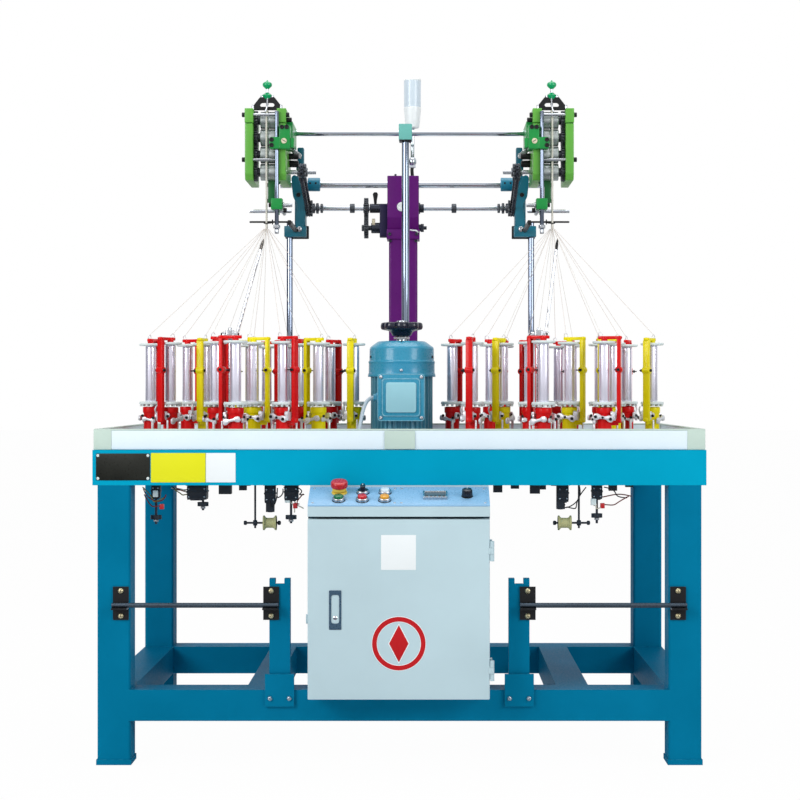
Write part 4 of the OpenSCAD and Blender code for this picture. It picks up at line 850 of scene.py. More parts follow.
def loose_wire(x0, x1, drop0, drop1, sag, seed, d=2.8):
    """A wire between two ends: a straight line, plus sag sin(pi t) down, plus a seeded sway sin(2 pi t)."""
    t = np.linspace(0, 1, 26)[:, None]
    line = line_between((x0, HUNG_Y - 8, TABLE_Z - drop0), (x1, HUNG_Y - 12, TABLE_Z - drop1), 26)
    sway = np.random.default_rng(seed).uniform(-1, 1, 3) * (9, 6, 3)
    return tube(line + np.sin(np.pi * t) * (0, 0, -sag) + np.sin(2 * np.pi * t) * sway, d, 6, (0, 1, 0))


# each wire: X of its two ends, their drops below the table, its sag and its seed
HOOKUPS = {"wire_red": [(-626, -588, 26, 54, 14, 1), (-628, -572, 12, 26, 22, 2), (-548, -502, 6, 22, 5, 3),
                        (-262, -236, 50, 24, 12, 4), (494, 560, 50, 30, 10, 5), (488, 566, 34, 30, -6, 6)],
           "wire_black": [(-300, -318, 10, 40, 28, 7), (-300, -286, 30, 12, 10, 8), (-252, -234, 8, 26, 6, 9),
                          (440, 404, 6, 50, 24, 10), (456, 408, 8, 56, 22, 11), (-556, -508, 8, 14, 4, 12),
                          (500, 556, 8, 34, 2, 13)],
           "wire_cream": [(-262, -236, 30, 60, 8, 18), (-560, -520, 10, 22, -4, 19), (-276, -258, 12, 70, 4, 20),
                          (470, 492, 40, 58, 8, 21)],
           "wire_olive": [(-630, -578, 8, 34, 20, 14), (-552, -512, 14, 24, 8, 15), (470, 476, 12, 54, 6, 16),
                          (-284, -262, 8, 36, 12, 17)]}
hooked = {finish: [loose_wire(*run) for run in runs] for finish, runs in HOOKUPS.items()}
piece("hung_fittings", "frame",
      {"block_dark": covers + knobs + ends + pins, "steel": nuts + screws, "spool_cream": spools, "red_gloss": lamps,
       "bobbin_white": holders, **hooked})
print("hook-up wires", sum(len(v) for v in hooked.values()))

# %% [markdown]
# Carriers. Each one is a cast body that rides in the track: a round housing, a foot that reaches
# out to the mast, the mast with a round ear halfway up, and an arm that comes back over the bobbin
# to the thread eye. The bobbin has two white flanges and a polished barrel. Two carriers belong to
# each horn gear and turn with it. One set of shapes is made and put in all thirty-two places.
# %% One carrier
HORN_R = 75                                       # a horn gear's pitch radius, where its carriers stand
RING_R = HORN_R / math.sin(math.radians(22.5))    # the ring of eight gears, each in mesh with the next
HEAD_X = 123.75 + HORN_R + RING_R                 # the main gear's radius, a horn gear's and the ring's
SLOT_TURN = (168, 150)                            # where the first horn of each head points, in degrees
MAST = 37                                         # from the carrier's middle to its mast, in mm


def mirrored(half):
    """A closed outline from its half below the X axis: the same points again, in turn, above it."""
    return half + [(x, -y) for x, y in half[::-1]]


def carrier_casting():
    """The painted casting: housing, foot, channel mast with its ear, and the arm."""
    housing = solid([(19.5, 4), (19.5, 26), (18.4, 28), (18.4, 74), (20.8, 77), (20.8, 90), (17, 91.4)], 28)
    foot = prism(softened(mirrored([(-8, -9), (12, -11), (36, -7), (43, -6)]), 4), 11, 1.6)
    channel = [(-4.6, -8.5), (4.8, -8.5), (4.8, 8.5), (-4.6, 8.5), (-4.6, 5.6), (1.4, 5.6), (1.4, -5.6), (-4.6, -5.6)]
    mast = prism(softened(channel, 0.9, 2), 210, 0.8)
    ear = solid([(8.4, 0), (9, 0.8), (9, 19.2), (8.4, 20)], 24)
    arm_line = mirrored([(-16, -4.2), (-6, -6.6), (8, -5), (30, -5.6), (38, -8.2), (44, -6)])
    knob = solid([(6.6, 0), (7.4, 2), (7.4, 5), (5, 7.2)], 20, top=8)
    brace = prism(softened([(-20, 0), (0, -5), (22, -3), (22, 3), (0, 5), (-20, 0.1)], 2, 2), 7, 1)
    return [housing, put(foot, (0, 0, 52)), put(mast, (MAST, 0, 54)), put(ear, (MAST, -10, 186), ALONG_Y),
            put(prism(softened(arm_line, 3), 8, 1.5), (0, 0, 263)), put(knob, (MAST + 1, 0, 264)),
            put(solid([(8, 0), (8, 12)], 20), (0, 0, 258)), put(brace, (14, 0, 46))]


print("casting shapes", len(carrier_casting()))

# %% [markdown]
# The carrier's bright parts are cast levers, two short rods, the drive pin with its shoe and a wire
# eye. One wavy outline, the dog, is used at three sizes. The pins through them are black.
# %% Levers, rods and pins


def carrier_steel():
    """Cast levers across the housing, their rods, the drive pin with its shoe, and the wire thread eye."""
    dog = softened([(-27, -4), (-24, -10), (-16, -10), (-9, -4.5), (7, -4), (13, -9), (21, -10), (26, -4), (23, 6),
                    (13, 7.5), (5, 3.6), (-7, 3.6), (-15, 8), (-25, 6)], 3)

    def lever(size, thick, tilt, at, turn):
        """The dog's outline at a size and a tilt, stood against the housing."""
        return put(put(prism(dog * size, thick, 1.4), turn=(0, 0, tilt)), at, turn)

    hook = tube(smooth_path([(24, -14, 66), (30, -20, 72), (34, -22, 84), (33, -20, 93)]), 4.2, 8, (1, 0, 0))
    shoe = mirrored([(-23, -8), (-12, -15), (12, -15), (23, -8)])
    a = np.linspace(-0.2, 1.85 * np.pi, 26)
    eye = tube(np.stack([-10 + 5.4 * np.cos(a), 0.9 * a - 2.5, 275 + 5.4 * np.sin(a)], -1), 1.9, 6, (0, 1, 0))
    return [lever(1, 7, -9, (2, -19.6, 66), TO_FRONT), lever(0.9, 6, 12, (2, 21.5, 60), (90, 0, 180)),
            put(block(9, 30, 22, 2, 1.5), (26, -6, 58)), hook, put(rod(7, 44), (-24, -14, 12)),
            put(rod(5, 50), (30, 16, 8)), put(prism(softened(shoe, 5), 3.4, 0.8), (0, 0, 0.5)),
            put(rod(12, 34), (0, 0, -32)), eye,
            *[lever(0.72, 6, tilt, (x, -2, z), (90, 0, 90)) for x, z, tilt in ((-25, 58, 10), (19, 74, -12))]]


def carrier_dark():
    """Black pins: on the ear, on the levers, and the little stop pin below the arm."""
    heads = [(MAST, -12.5, 186, 7.6), (-18, -26, 68, 8), (0, -26, 66, 6), (20, -26, 62, 8)]
    pins = [put(screw_head(d, 4, "cap"), (x, y, z), TO_FRONT) for x, y, z, d in heads]
    pins += [put(screw_head(7, 4, "cap"), (side * 24.6, y, z), (0, side * 90, 0))
             for side in (-1, 1) for y, z in ((-16, 62), (13, 68))]
    return pins + [put(screw_head(7.6, 4, "cap"), (MAST, 9.5, 186), ALONG_Y),
                   put(rod(3, 12), (30, -11, 186), TO_FRONT)]


print("dark pins", len(carrier_dark()))

# %% [markdown]
# The bobbin turns on the housing. Its barrel is polished and bare here, between two white flanges,
# and the lower flange has a ring of ratchet teeth that the dog holds.
# %% Bobbin


def bobbin_flanges():
    """Two flanges: rimmed discs of revolution, and a ring of ratchet teeth below the lower one."""
    low = solid([(24, 97.2), (25, 98), (30, 98), (30, 102.5), (28.6, 105), (16, 105)], 36, top=105.5)
    high = turned([(AXIS, 251), (14, 251.5), (27, 252), (30, 253.4), (30, 257.6), (28.4, 258.4), (26, 257.6),
                   (10, 257.6), (AXIS, 257.8)], 36)
    tooth = block(4.6, 5.4, 5, 0.8, 0.8)
    teeth = [put(tooth, (26.2 * math.cos(a), 26.2 * math.sin(a), 92.6), (0, 0, math.degrees(a)))
             for a in np.arange(12) * math.pi / 6]
    return [low, high] + teeth


barrel = solid([(13.2, 104), (13.2, 107), (14, 108), (14, 248), (13.2, 249), (13.2, 252)])
CARRIER = {"casting": added(carrier_casting()), "steel": added(carrier_steel()), "dark": added(carrier_dark()),
           "white": added(bobbin_flanges()), "barrel": barrel}
print("carrier points", {k: len(v[0]) for k, v in CARRIER.items()})

# %% [markdown]
# The places. Eight horn gears stand on a ring round each head, and the right head is the left one
# turned by half a turn. The two carriers of a gear stand in opposite horns. Next gears turn the
# other way and are a quarter turn apart, so that one gear can hand a carrier to the next, and each
# carrier's mast is on the side that trails.
# %% Thirty-two carriers
SIDES = ("left", "right")
YELLOW = {0: (1, 4, 8, 12, 15), 1: (0, 4, 7, 9)}    # the yellow carriers of each head, counted two to a gear


def carrier_place(shape, head, gear, k):
    """Out to the horn, round the gear, out to the gear's centre, round the head, and over to the head's middle."""
    odd = gear % 2
    s = put(shape, (HORN_R, 0, DECK_TOP), (0, 0, 90 if odd else -90))
    s = put(s, (RING_R, 0, 0), (0, 0, (90 - SLOT_TURN[head] if odd else SLOT_TURN[head]) + 180 * k))
    s = put(s, (-HEAD_X, 0, 0), (0, 0, 45 * gear))
    return put(s, (0, MID_Y, 0), (0, 0, 180 * head))


for head, side in enumerate(SIDES):
    for gear in range(8):
        parts = {}
        for k in (0, 1):
            coat = "carrier_yellow" if 2 * gear + k in YELLOW[head] else "carrier_red"
            for part, mat in (("casting", coat), ("steel", "lever_steel"), ("dark", "black_paint"),
                              ("white", "bobbin_white"), ("barrel", "barrel")):
                parts.setdefault(mat, []).append(carrier_place(CARRIER[part], head, gear, k))
        node_name = f"{side}_carriers_{gear + 1}"
        piece(f"{node_name}_cast", f"{side}_horn_{gear + 1}", parts, [node_name])
        dress(f"{side}_horn_gear_{gear + 1}", "gear_iron")
print("carriers placed")

# %% [markdown]
# Yarns. Each thread runs straight from a carrier's eye to the point where the braid forms. It is a
# thin tube in many short steps, and it rides on no body, so it stays where it is when the carriers move.
# %% Yarns and braids
UNIT_X, ROLLER_Y, FELL_Z, BRAID_TOP = (-359, 399), 105.5, 1338, 1623
ROLLER_D, YARN_D, BRAID_D = 45, 0.95, 5.2
RING_Y = ROLLER_Y - ROLLER_D / 2 - 3 - 0.4    # the braid goes up just in front of the rollers
EYE = (-10.0, 0.0, 279.5)                     # a carrier's thread eye, from the foot of its own axis
YARN_END = 9                                  # a yarn ends this far from the braid's middle, inside its cone
for name, colour in (("yarn_pale", (228, 224, 214)), ("yarn_warm", (226, 214, 204))):
    hard(name, colour, rough=0.8, wear=0.0, tone=0.06, bump=0.02, blotch=60.0)
for head, side in enumerate(SIDES):
    fell = np.array([UNIT_X[head], RING_Y, FELL_Z])
    for gear in range(8):
        for k in (0, 1):
            eye = carrier_place((np.array([EYE]), []), head, gear, k)[0][0]
            line = line_between(fell + (eye - fell) / np.linalg.norm(eye - fell) * YARN_END, eye, 25)
            yarn = piece(f"{side}_yarn_{gear + 1}_{k + 1}", "frame",
                         {"yarn_warm" if (gear + k) % 3 else "yarn_pale": tube(line, YARN_D, 6, (0, 1, 0))})
            yarn.parent = None
            del yarn["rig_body"]    # it rides on no body
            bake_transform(yarn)


print("yarns", 2 * 8 * 2)

# %% [markdown]
# A finished braid goes up from each point in front of the rollers, over the top one and down behind.
# Its crossing strands show as a fine pattern of waves on one round section.
# %% Braids


def braid(centre, d, turns):
    """A round braid along its line: radius = d/2 (0.88 + 0.1 |sin(2a + s)| + 0.1 |sin(2a - s)|), s being the lay."""
    a = np.arange(16) / 16 * 2 * np.pi
    s = np.linspace(0, turns * 2 * np.pi, len(centre))[:, None]
    r = d / 2 * (0.88 + 0.1 * np.abs(np.sin(2 * a + s)) + 0.1 * np.abs(np.sin(2 * a - s)))
    return swept(centre, r, a, np.tile((1.0, 0, 0), (len(centre), 1)))


REACH = ROLLER_Y - RING_Y    # the braid goes over the top roller at this radius, and down behind
yz = np.vstack([line_between((RING_Y, FELL_Z), (RING_Y, BRAID_TOP), 120),
                (polar(REACH, np.linspace(np.pi, 0, 40)) + (ROLLER_Y, BRAID_TOP))[1:],
                line_between((ROLLER_Y + REACH, BRAID_TOP), (ROLLER_Y + REACH, 1487), 60)[1:]])
cone = turned([(1.0, -9), (3.4, -6), (3.6, 0), (2.6, 12), (0.5, 14)], 16)
braids = []
for x in UNIT_X:
    braids += [braid(np.insert(yz, 0, x, axis=1), BRAID_D, 60), put(cone, (x, RING_Y, FELL_Z))]
piece("braids", "frame", {"yarn_pale": braids}, ["yarns"])
print("braid steps", len(yz))

# %% [markdown]
# The motor stands upright between the heads: a foot flange, a finned frame, a fan cover that ends
# in a dome, and a terminal box with a raised lid towards the front. Fins are one comb-shaped
# outline carried up, which is how the frame is cast or extruded.
# %% Motor
BOX_Y, BOX_Z = MID_Y - 75, DECK_TOP + 116    # the terminal box


def on_motor(shape, z=0.0):
    """Puts a shape on the motor's axis, z above the deck."""
    return put(shape, (0, MID_Y, DECK_TOP + z))


def on_box(shape, y, x=0.0, z=0.0):
    """Puts a shape on the terminal box, its own Z to the front."""
    return put(shape, (x, BOX_Y + y, BOX_Z + z), TO_FRONT)


def square(half, corner, steps=5):
    """A square outline with rounded corners."""
    return rounded(-half, -half, half, half, corner, steps)


a = np.arange(36)[:, None] * 2 * np.pi / 36 + np.array([-0.05, -0.022, 0.022, 0.05])
r = np.array([75.2, 81.5, 81.5, 75.2])
comb = polar(r, a).reshape(-1, 2)
cover = [(60, 173), (88.5, 173), (88.5, 178), (87.2, 180), (86.8, 205), (87.8, 207), (87.8, 210.5), (85.2, 213),
         (84.8, 243), (82.6, 248.5), (64, 262), (60, 263.6), (30, 264), (14.2, 264)]
gland = solid([(12, 0), (12, 5), (9.5, 6), (9.5, 11), (7, 12)], 6, 0.8)
cast = [on_motor(turned([(14.2, 0), (100, 0), (100, 12), (97, 14), (74, 14), (14.2, 14)], 64, 1.0)),
        on_motor(turned(cover, 72, 1.2)), on_motor(turned([(76, 170), (89.2, 170), (89.2, 176), (76, 176)], 72, 0.8)),
        on_box(prism(square(60.5, 14), 66, 3), 18), on_box(prism(square(60.5, 10), 7, 1.5), -45),
        on_box(prism(square(50, 10), 4, 1.6), -50.5), put(gland, (-60, BOX_Y - 20, BOX_Z), BACK_X)]
lid = on_box(prism(square(39, 8), 8, 2.6), -51)
# Two thin paler rings round the box's flange and its lid: a painted highlight on the rounded edges, partly worn
# paint.
edges = [on_box(holed(square(half, r), square(half - 1.8, r), 1.4, 0.5), -y)
         for half, y, r in ((60.6, 51.6, 10), (48.5, 54.2, 9))]
pins = []
for deg in (20, 70, 110, 160, 200, 340):
    q = math.radians(deg)
    at = (84.4 * math.cos(q), MID_Y + 84.4 * math.sin(q), DECK_TOP + 222)
    pins.append(put(screw_head(7, 3, "cap"), at, (90, 0, deg + 90)))
pins.append(put(rod(4, 3), (0, MID_Y - 64, DECK_TOP + 261), (35, 0, 0)))
screws = [put(screw_head(9, 4), (0, MID_Y - 86.6, DECK_TOP + 186), TO_FRONT)]
screws += [on_box(screw_head(10, 5), -52, x, z) for x in (-52, 52) for z in (-52, 52)]
piece("motor_cast", "frame", {"motor_blue": cast, "motor_fins": on_motor(prism(comb, 158, 0.6), 14), "motor_lid": lid,
                              "motor_edge": edges, "black_paint": pins, "steel": screws}, ["motor"])
print("motor points", len(comb), "cover top", DECK_TOP + cover[-1][1])

# %% [markdown]
# The motor's wires come down in a ribbed hose, from the gland of the terminal box to the deck.
# The ribs are a wave in the diameter of the tube.
# %% Motor hose
HOSE_D = 9.5
bends = ((-70, 20, 116), (-79, 21, 114), (-90, 24, 104), (-98, 28, 84), (-104, 32, 56), (-109, 35, 28), (-112, 36, 4))
hose = smooth_path([(x, BOX_Y - out, DECK_TOP + up) for x, out, up in bends], 14)
ripple = HOSE_D + 0.9 * np.sin(np.arange(len(hose)) * 2.2)
conduit = piece("motor_hose", "frame", {"conduit": tube(hose, ripple, 12, (0, 1, 0))})

# %% [markdown]
# The handwheel is one moulded disc with eight soft lobes round its rim and a sunk web, on a
# stepped steel hub. The whole wheel is a single surface: the rim's section is carried round the
# axis, and between the lobes its radius is drawn in by up to 6.5 mm.
# %% Handwheel, spindle and main gear
WHEEL_Z = DECK_TOP + 264 + 27    # the wheel stands on the motor's cover
SPINDLE_Z, GEAR_Z = 648, 712     # the lower ends of the spindle and of the main gear


def lobed_wheel(lobes=8, deep=6.5):
    """Rows follow the rim's section from the lower hub, round the rim and back to the top. The radius is
    R - deep share (1 - w^0.6), where w = 0.5 + 0.5 cos(lobes a), and share goes from 0 at the web to 1 at the rim."""
    a = np.arange(128) / 128 * 2 * np.pi
    section = softened([(20, -14), (24, -13), (30, -2), (38, 1), (46, 2), (54, 4), (56, 12), (54, 21), (46, 23),
                        (40, 21), (36, 12), (22, 12), (14.5, 15), (14.4, 22)], 3, 3, closed=False)
    share = np.clip((section[:, :1] - 30) / 22, 0, 1)
    wave = 0.5 + 0.5 * np.cos(lobes * a)
    r = section[:, :1] - share * deep * (1 - wave ** 0.6)
    return rings(polar(r, a, section[:, 1:]))


spindle = [(14, 0), (14, 380), (13.4, 382), (13.4, WHEEL_Z + 25 - SPINDLE_Z), (12, WHEEL_Z + 27 - SPINDLE_Z)]
hub = turned([(14, 0), (21, 0), (21, 5), (17, 7), (17, 13), (14, 14)], 6, 0.6)
steel = [put(solid(spindle, 32), (0, MID_Y, SPINDLE_Z)), put(hub, (0, MID_Y, WHEEL_Z - 22)),
         put(solid([(24, 0), (24, 25.6)], 32), (0, MID_Y, SPINDLE_Z))]
iron = [put(shape, (0, MID_Y, GEAR_Z)) for shape in (prism(gear_outline(3.75, 66), 16, 0.8), rod(68, 28))]
wheel = put(lobed_wheel(), (0, MID_Y, WHEEL_Z))
piece("handwheel", "handwheel", {"wheel_black": wheel, "steel": steel, "gear_iron": iron},
      ["handwheel_shaft"])
print("handwheel top", WHEEL_Z + 27)

# %% [markdown]
# The column is a square tube that carries the gear head. The head is a box with a sloped underside,
# bolted to a collar on the tube. Its side faces hold bearing sleeves for the take-up shaft and the
# change gears. Outlines in the side view are carried across, because that is how the box is welded.
# %% Column and gear head
COL_Y, BAR_Y = 391.5, 379.5                      # the column's middle, and the plane of bar and shaft
BAR_Z, SHAFT_Z, CHANGE_Z = 1483, 1416, 1360.8    # the upper bar, the shaft, and the lower change gear
BOX_FRONT = COL_Y - 58                           # the gear head's front
CHAIN_PITCH, CHAIN_TEETH = 9.525, 13


def across(outline_yz, x0, width, edge=1.2):
    """An outline given as (Y, Z) and carried along X from x0."""
    return put(prism(outline_yz, width, edge), (x0, 0, 0), (90, 0, 90))


def upright(outline_xz, y1, depth, edge=1.0):
    """An outline given as (X, Z) and carried along Y, its front at y1 - depth and its back at y1."""
    return put(prism(outline_xz, depth, edge), (0, y1, 0), TO_FRONT)


def on_shaft(shape, x, z=SHAFT_Z):
    """Lays a shape along X on the take-up shaft's axis, or on one above or below it."""
    return put(shape, (x, BAR_Y, z), ALONG_X)


head = [(COL_Y - 40, 1352), (COL_Y + 40, 1352), (COL_Y + 58, 1386), (COL_Y + 58, 1503), (BOX_FRONT, 1503),
        (BOX_FRONT, 1386)]
purple = [put(prism(square(40, 7, 4), 1355 - DECK_TOP, 1), (0, COL_Y, DECK_TOP)),
          put(block(130, 102, 14, 4, 1.5), (0, COL_Y - 14, DECK_TOP)),
          across(rounded(COL_Y - 46, 1327, COL_Y + 46, 1355, 2, 2), -46, 92),
          across(softened(head, 3, 3), -44, 88, 1.6)]
white = [put(solid([(13, 0), (13, 3), (8.5, 4), (8, 2)], 32), (-4, BOX_FRONT, SHAFT_Z), TO_FRONT),
         tube(smooth_path([(20, BOX_FRONT + 6, 1352), (28, BOX_FRONT - 2, 1350), (37, BOX_FRONT - 3, 1349),
                           (42, BOX_FRONT + 3, 1345)]), 4, 8)]
dark = [put(screw_head(d, 5, "cap"), (side * x, y, z), TO_FRONT)
        for d, x, y, z in ((9, 38, COL_Y - 46, 1341), (8, 36, COL_Y - 40, 1322)) for side in (-1, 1)]
dark += [put(screw_head(12, 7, "cap"), (-22, COL_Y, 1502.5)), put(rod(6, 5), (-22, COL_Y, 1509))]
dark += [put(screw_head(13, 8, "cap"), (x, COL_Y - 50, DECK_TOP + 14)) for x in (-52, 52)]
dark += [on_shaft(turned([(7.05, 0), (11, 0), (13, 1.5), (13, 48), (16, 49), (16, 52), (7.05, 52)], 32), -94),
         on_shaft(turned([(7.05, 0), (16, 0), (16, 4), (12, 5), (12, 15), (7.05, 15)], 28), 43),
         on_shaft(solid([(10, 0), (10, 6)], 24), 43, 1361), on_shaft(solid([(11.5, 0), (11.5, 9)], 6, 1), 49, 1361),
         on_shaft(rod(10, 22), 44, 1361),
         on_shaft(turned([(7.05, 0), (14, 0), (15, 2), (15, 24), (7.05, 24)], 28), -90, CHANGE_Z)]
navy = across(rounded(BAR_Y - 16, 1334, BAR_Y + 16, 1428, 5, 3), -66, 23)
cream = put(turned([(7.05, 0), (12, 0), (13, 1), (13, 9), (7.05, 9)], 28), (-88, BAR_Y - 1.2, 1374), ALONG_X)
lever = [(-82, 1427), (-75, 1427), (-74, 1440), (-71, 1456), (-74, 1461), (-82, 1461), (-86, 1456), (-83, 1440)]
piece("gear_head", "frame", {"purple": purple, "plate_white": white, "steel_dark": dark, "navy": navy, "cream": cream,
      "black_paint": upright(softened(lever, 2, 2), BAR_Y + 6, 12)}, ["gear_column"])


print("gear head front", BOX_FRONT)

# %% [markdown]
# The take-up shaft crosses the machine through the gear head. It carries the upper change gear beside
# the head, two chain wheels for each unit, and the bushes and nuts that hold them. The lower change
# gear is turned by half a tooth so that the two mesh.
# %% Take-up shaft and change gears


def sprocket(z=CHAIN_TEETH, pitch=CHAIN_PITCH, t=6.0):
    """A chain wheel carried along its axis: from R + 3 at each tooth, R being the chain's own radius, the outline
    dips by 4.6 (0.5 + 0.5 cos(z a))^0.7."""
    n = z * 10
    a = np.arange(n) / n * 2 * np.pi
    r = pitch / 2 / math.sin(math.pi / z) + 3.0 - 4.6 * (0.5 + 0.5 * np.cos(z * a)) ** 0.7
    return prism(polar(r, a), t, 0.6)


change_wheel = prism(gear_outline(2.3, 24), 12, 0.8)
iron = [on_shaft(change_wheel, -110), on_shaft(rod(26, 16), -112)]
for way, x in ((1, UNIT_X[0] + 94), (-1, UNIT_X[1] - 94)):
    iron += [on_shaft(sprocket(), x + off - 3) for off in (-7, 7)]
    iron.append(on_shaft(turned([(7.05, 0), (13, 0), (14, 1), (14, 33), (13, 34), (7.05, 34)], 28), x - 17))
    for off, sides in ((24, 28), (36, 6)):
        r = 18 - off / 6
        nut = turned([(7.05, 0), (r, 0), (r + 1, 1), (r + 1, 7), (7.05, 8)], sides)
        iron.append(on_shaft(nut, x + way * off - 4))
    iron.append(on_shaft(turned([(7.05, 0), (12, 0), (13, 1), (13, 13), (7.05, 14)], 28), way * -143 - 7))
piece("takeup_shaft_turned", "shaft", {"chrome": on_shaft(rod(14, 566), -263), "gear_iron": iron},
      ["takeup_shaft"])
half_tooth = put(change_wheel, turn=(0, 0, 7.5))
low = [on_shaft(half_tooth, -110, CHANGE_Z), on_shaft(rod(14, 100), -116, CHANGE_Z),
       on_shaft(solid([(9, 0), (9, 6)], 6, 0.8), -117, CHANGE_Z)]
piece("change_gear_cut", "change_gear", {"gear_iron": low}, ["change_gear"])
print("column and shaft made")

# %% [markdown]
# The signal lamp: a milky lens over a white tapered foot, on a bright stem with a ball joint, and a
# short dark hose that takes its wire down into the head.
# %% Signal lamp
LAMP = (26, 366.5, 0)
lens = solid([(23.2, 1697), (23.6, 1699), (24, 1770), (24, 1774), (22.6, 1776.6)], 48, 1.4, top=1777)
band = solid([(24.15, 1771.5), (24.15, 1775), (22.8, 1776.9), (20, 1777)], 48, 0.5)
foot = [(17, 1640), (19, 1643), (21.2, 1658), (23.4, 1684), (24.2, 1694), (24.2, 1697.4), (22, 1698.4)]
stem = solid([(5.5, 1552), (5.5, 1641)], 24)
ball = solid([(7, 1535), (11, 1541), (11.5, 1546), (11, 1551), (8.4, 1556), (6, 1557)], 28, 2)
nut = solid([(9, 1528), (9, 1536)], 6, 0.8)
hose = smooth_path([(0, 0, 1490), (0, 0, 1500), (-0.8, -1, 1512), (-1.4, -1.4, 1522), (0, 0, 1534)], 8)
hard("lens_milky", (206, 220, 232), rough=0.18, coat=0.3, wear=0.0, tone=0.02, bump=0.0, glow=((215, 228, 238), 0.12))
# The white foot glows faintly: painted light, since the foot gives no light of its own.
hard("lamp_foot_painted_glow", (240, 245, 248), rough=0.3, coat=0.1, wear=0.0, tone=0.02, glow=((236, 242, 246), 0.08))
piece("signal_lamp_turned", "frame",
      {"lens_milky": put(lens, LAMP), "lamp_foot_painted_glow": put(solid(foot, 48, 1.2), LAMP),
       "chrome": [put(shape, LAMP) for shape in (stem, ball, nut)], "plate_white": put(band, LAMP),
       "black_paint": put(tube(hose, 9.5, 14, (0, 1, 0)), LAMP)}, ["signal_lamp"])
print("lamp made")

# %% [markdown]
# Polished bars and posts tie the take-up units to the column and the table. A polished bar shows
# the room in it: bright on top, dark below. So its finish is a near mirror with only faint marks.
# %% Bars, posts and guides
ROD_Y, GUIDE_Y = 57.6, 87.5
CROSS_Y, CROSS_Z = 231.5, 1607    # the cross bar that ties the two units
# the X, Y, diameter and top of each post, and the radius of its foot
POSTS = ((-316, 331.5, 17, 1375, 17), (357, 331.5, 17, 1375, 17), (8, 213.1, 20, 1625, 19))


def both(shape):
    """The same shape on the left take-up unit and, mirrored, on the right one."""
    return [put(shape, (UNIT_X[0], 0, 0)), put(shape, (UNIT_X[1], 0, 0), (0, 0, 0), (-1, 1, 1))]


def wire_ring(d, wire, at, turn=(0, 0, 0)):
    """A closed ring of wire: the tube's own circle carried round the ring's circle."""
    u = np.arange(28)[:, None] / 28 * 2 * np.pi
    v = np.arange(8)[None, :] / 8 * 2 * np.pi
    r = d / 2 + wire / 2 * np.cos(v)
    g = polar(r, u, wire / 2 * np.sin(v))
    i, j = np.meshgrid(np.arange(28), np.arange(8), indexing="ij")
    on, up = (i + 1) % 28, (j + 1) % 8
    f = np.stack([i * 8 + j, on * 8 + j, on * 8 + up, i * 8 + up], -1).reshape(-1, 4)
    return put((g.reshape(-1, 3), [f]), at, turn)


chrome = [on_shaft(rod(20, 733, 1.2, 32), -346, BAR_Z), put(rod(16, 653, 1, 32), (-306.5, CROSS_Y, CROSS_Z), ALONG_X)]
# The upright posts and rods take a darker copy of the chrome: painted shade, so that they mirror the lamps less
# brightly.
deep, dull, black = [], [], []
for x, y, d, top, wide in POSTS:
    deep.append(put(rod(d, top - DECK_TOP, 1, 32), (x, y, DECK_TOP)))
    flange = [(d / 2, 0), (wide, 0), (wide, wide - 7), (wide - 5, wide - 5), (d / 2, wide - 5)]
    dull.append(put(turned(flange, 32, 1), (x, y, DECK_TOP)))
deep += both(put(rod(11, 314, 1.2), (29, ROD_Y, 1327)))
dull += both(put(solid([(9, 0), (9, 9)], 6, 1), (29, ROD_Y, 1331)))
dull += both(put(solid([(5, 0), (5.5, 4), (5.5, 12)], 20), (29, ROD_Y, 1317)))
chrome += both(put(rod(9, 112, 1), (-46, GUIDE_Y, 1379), ALONG_X))
guide = [put(rod(5, 112, 1), (-46, RING_Y + 11, 1351), ALONG_X),
         put(block(9, 237, 12, 1.5, 1), (60.5, RING_Y + 118.5, 1343)),
         wire_ring(13, 2.6, (0, RING_Y + 1, 1347), (12, 0, 0)),
         tube(smooth_path([(6, RING_Y + 2, 1347), (11, RING_Y + 6, 1348), (15, RING_Y + 10, 1351)]), 3, 8),
         wire_ring(11, 3, (15, RING_Y + 11, 1351), ALONG_X)]
for shape in guide:
    black += both(shape)
print("posts", len(POSTS), "guides", len(guide))

# %% [markdown]
# A short post on the deck beside each head holds a threaded rod, which leans up to the point where
# the braid forms and ends there in a dark tip.
# %% Leaning rods
TOP = DECK_TOP + 300
for side, unit_x, dx in ((1, UNIT_X[0], -58), (-1, UNIT_X[1], -34)):
    x = side * -HEAD_X + dx
    dull += [put(rod(9, 300), (x, MID_Y, DECK_TOP)),
             put(turned([(4.5, 0), (9, 0), (9, 40), (4.5, 40)], 28, 1.5), (x - 20, MID_Y, TOP - 20), ALONG_X),
             put(block(22, 24, 26, 4, 2), (x, MID_Y, TOP - 33))]
    black += [put(solid([(6, 0), (6.5, 1), (6.5, 7)], 20), (x + off, MID_Y, TOP - 20), ALONG_X) for off in (-24, 17)]
    low = np.array((x + 20, MID_Y, TOP - 10.0))
    high = np.array((unit_x - side * 12, RING_Y, FELL_Z - 48.0))
    chrome.append(tube(line_between(low, high, 60), 7.4 + 0.3 * np.sin(np.arange(60) * 1.7), 12, (0, 1, 0)))
    tip = high + (high - low) / np.linalg.norm(high - low) * np.array([[-14.0], [0.0], [10.0], [16.0]])
    black.append(tube(tip, [7.8, 7.8, 5, 2], 12, (0, 1, 0)))
piece("bars_and_posts", "frame", {"chrome": chrome, "chrome_deep": deep, "steel": dull, "black_paint": black},
      ["bars_and_guides"])
print("bars made")

# %% [markdown]
# The take-up units. Two lime plates hold four geared rollers; the braid goes over the top one and
# the plates' split caps let the rollers out. Green clamps hold the plates to the polished bars. The
# left unit is made once in its own place, u to the right from the braid, and mirrored for the right one.
# %% Plates and clamps
PLATE_Y = ROLLER_Y - 42             # the plates' front edge
ROLLER_Z, ROLLER_STEP = 1485, 46    # the bottom roller's axis, and the rise from one roller to the next


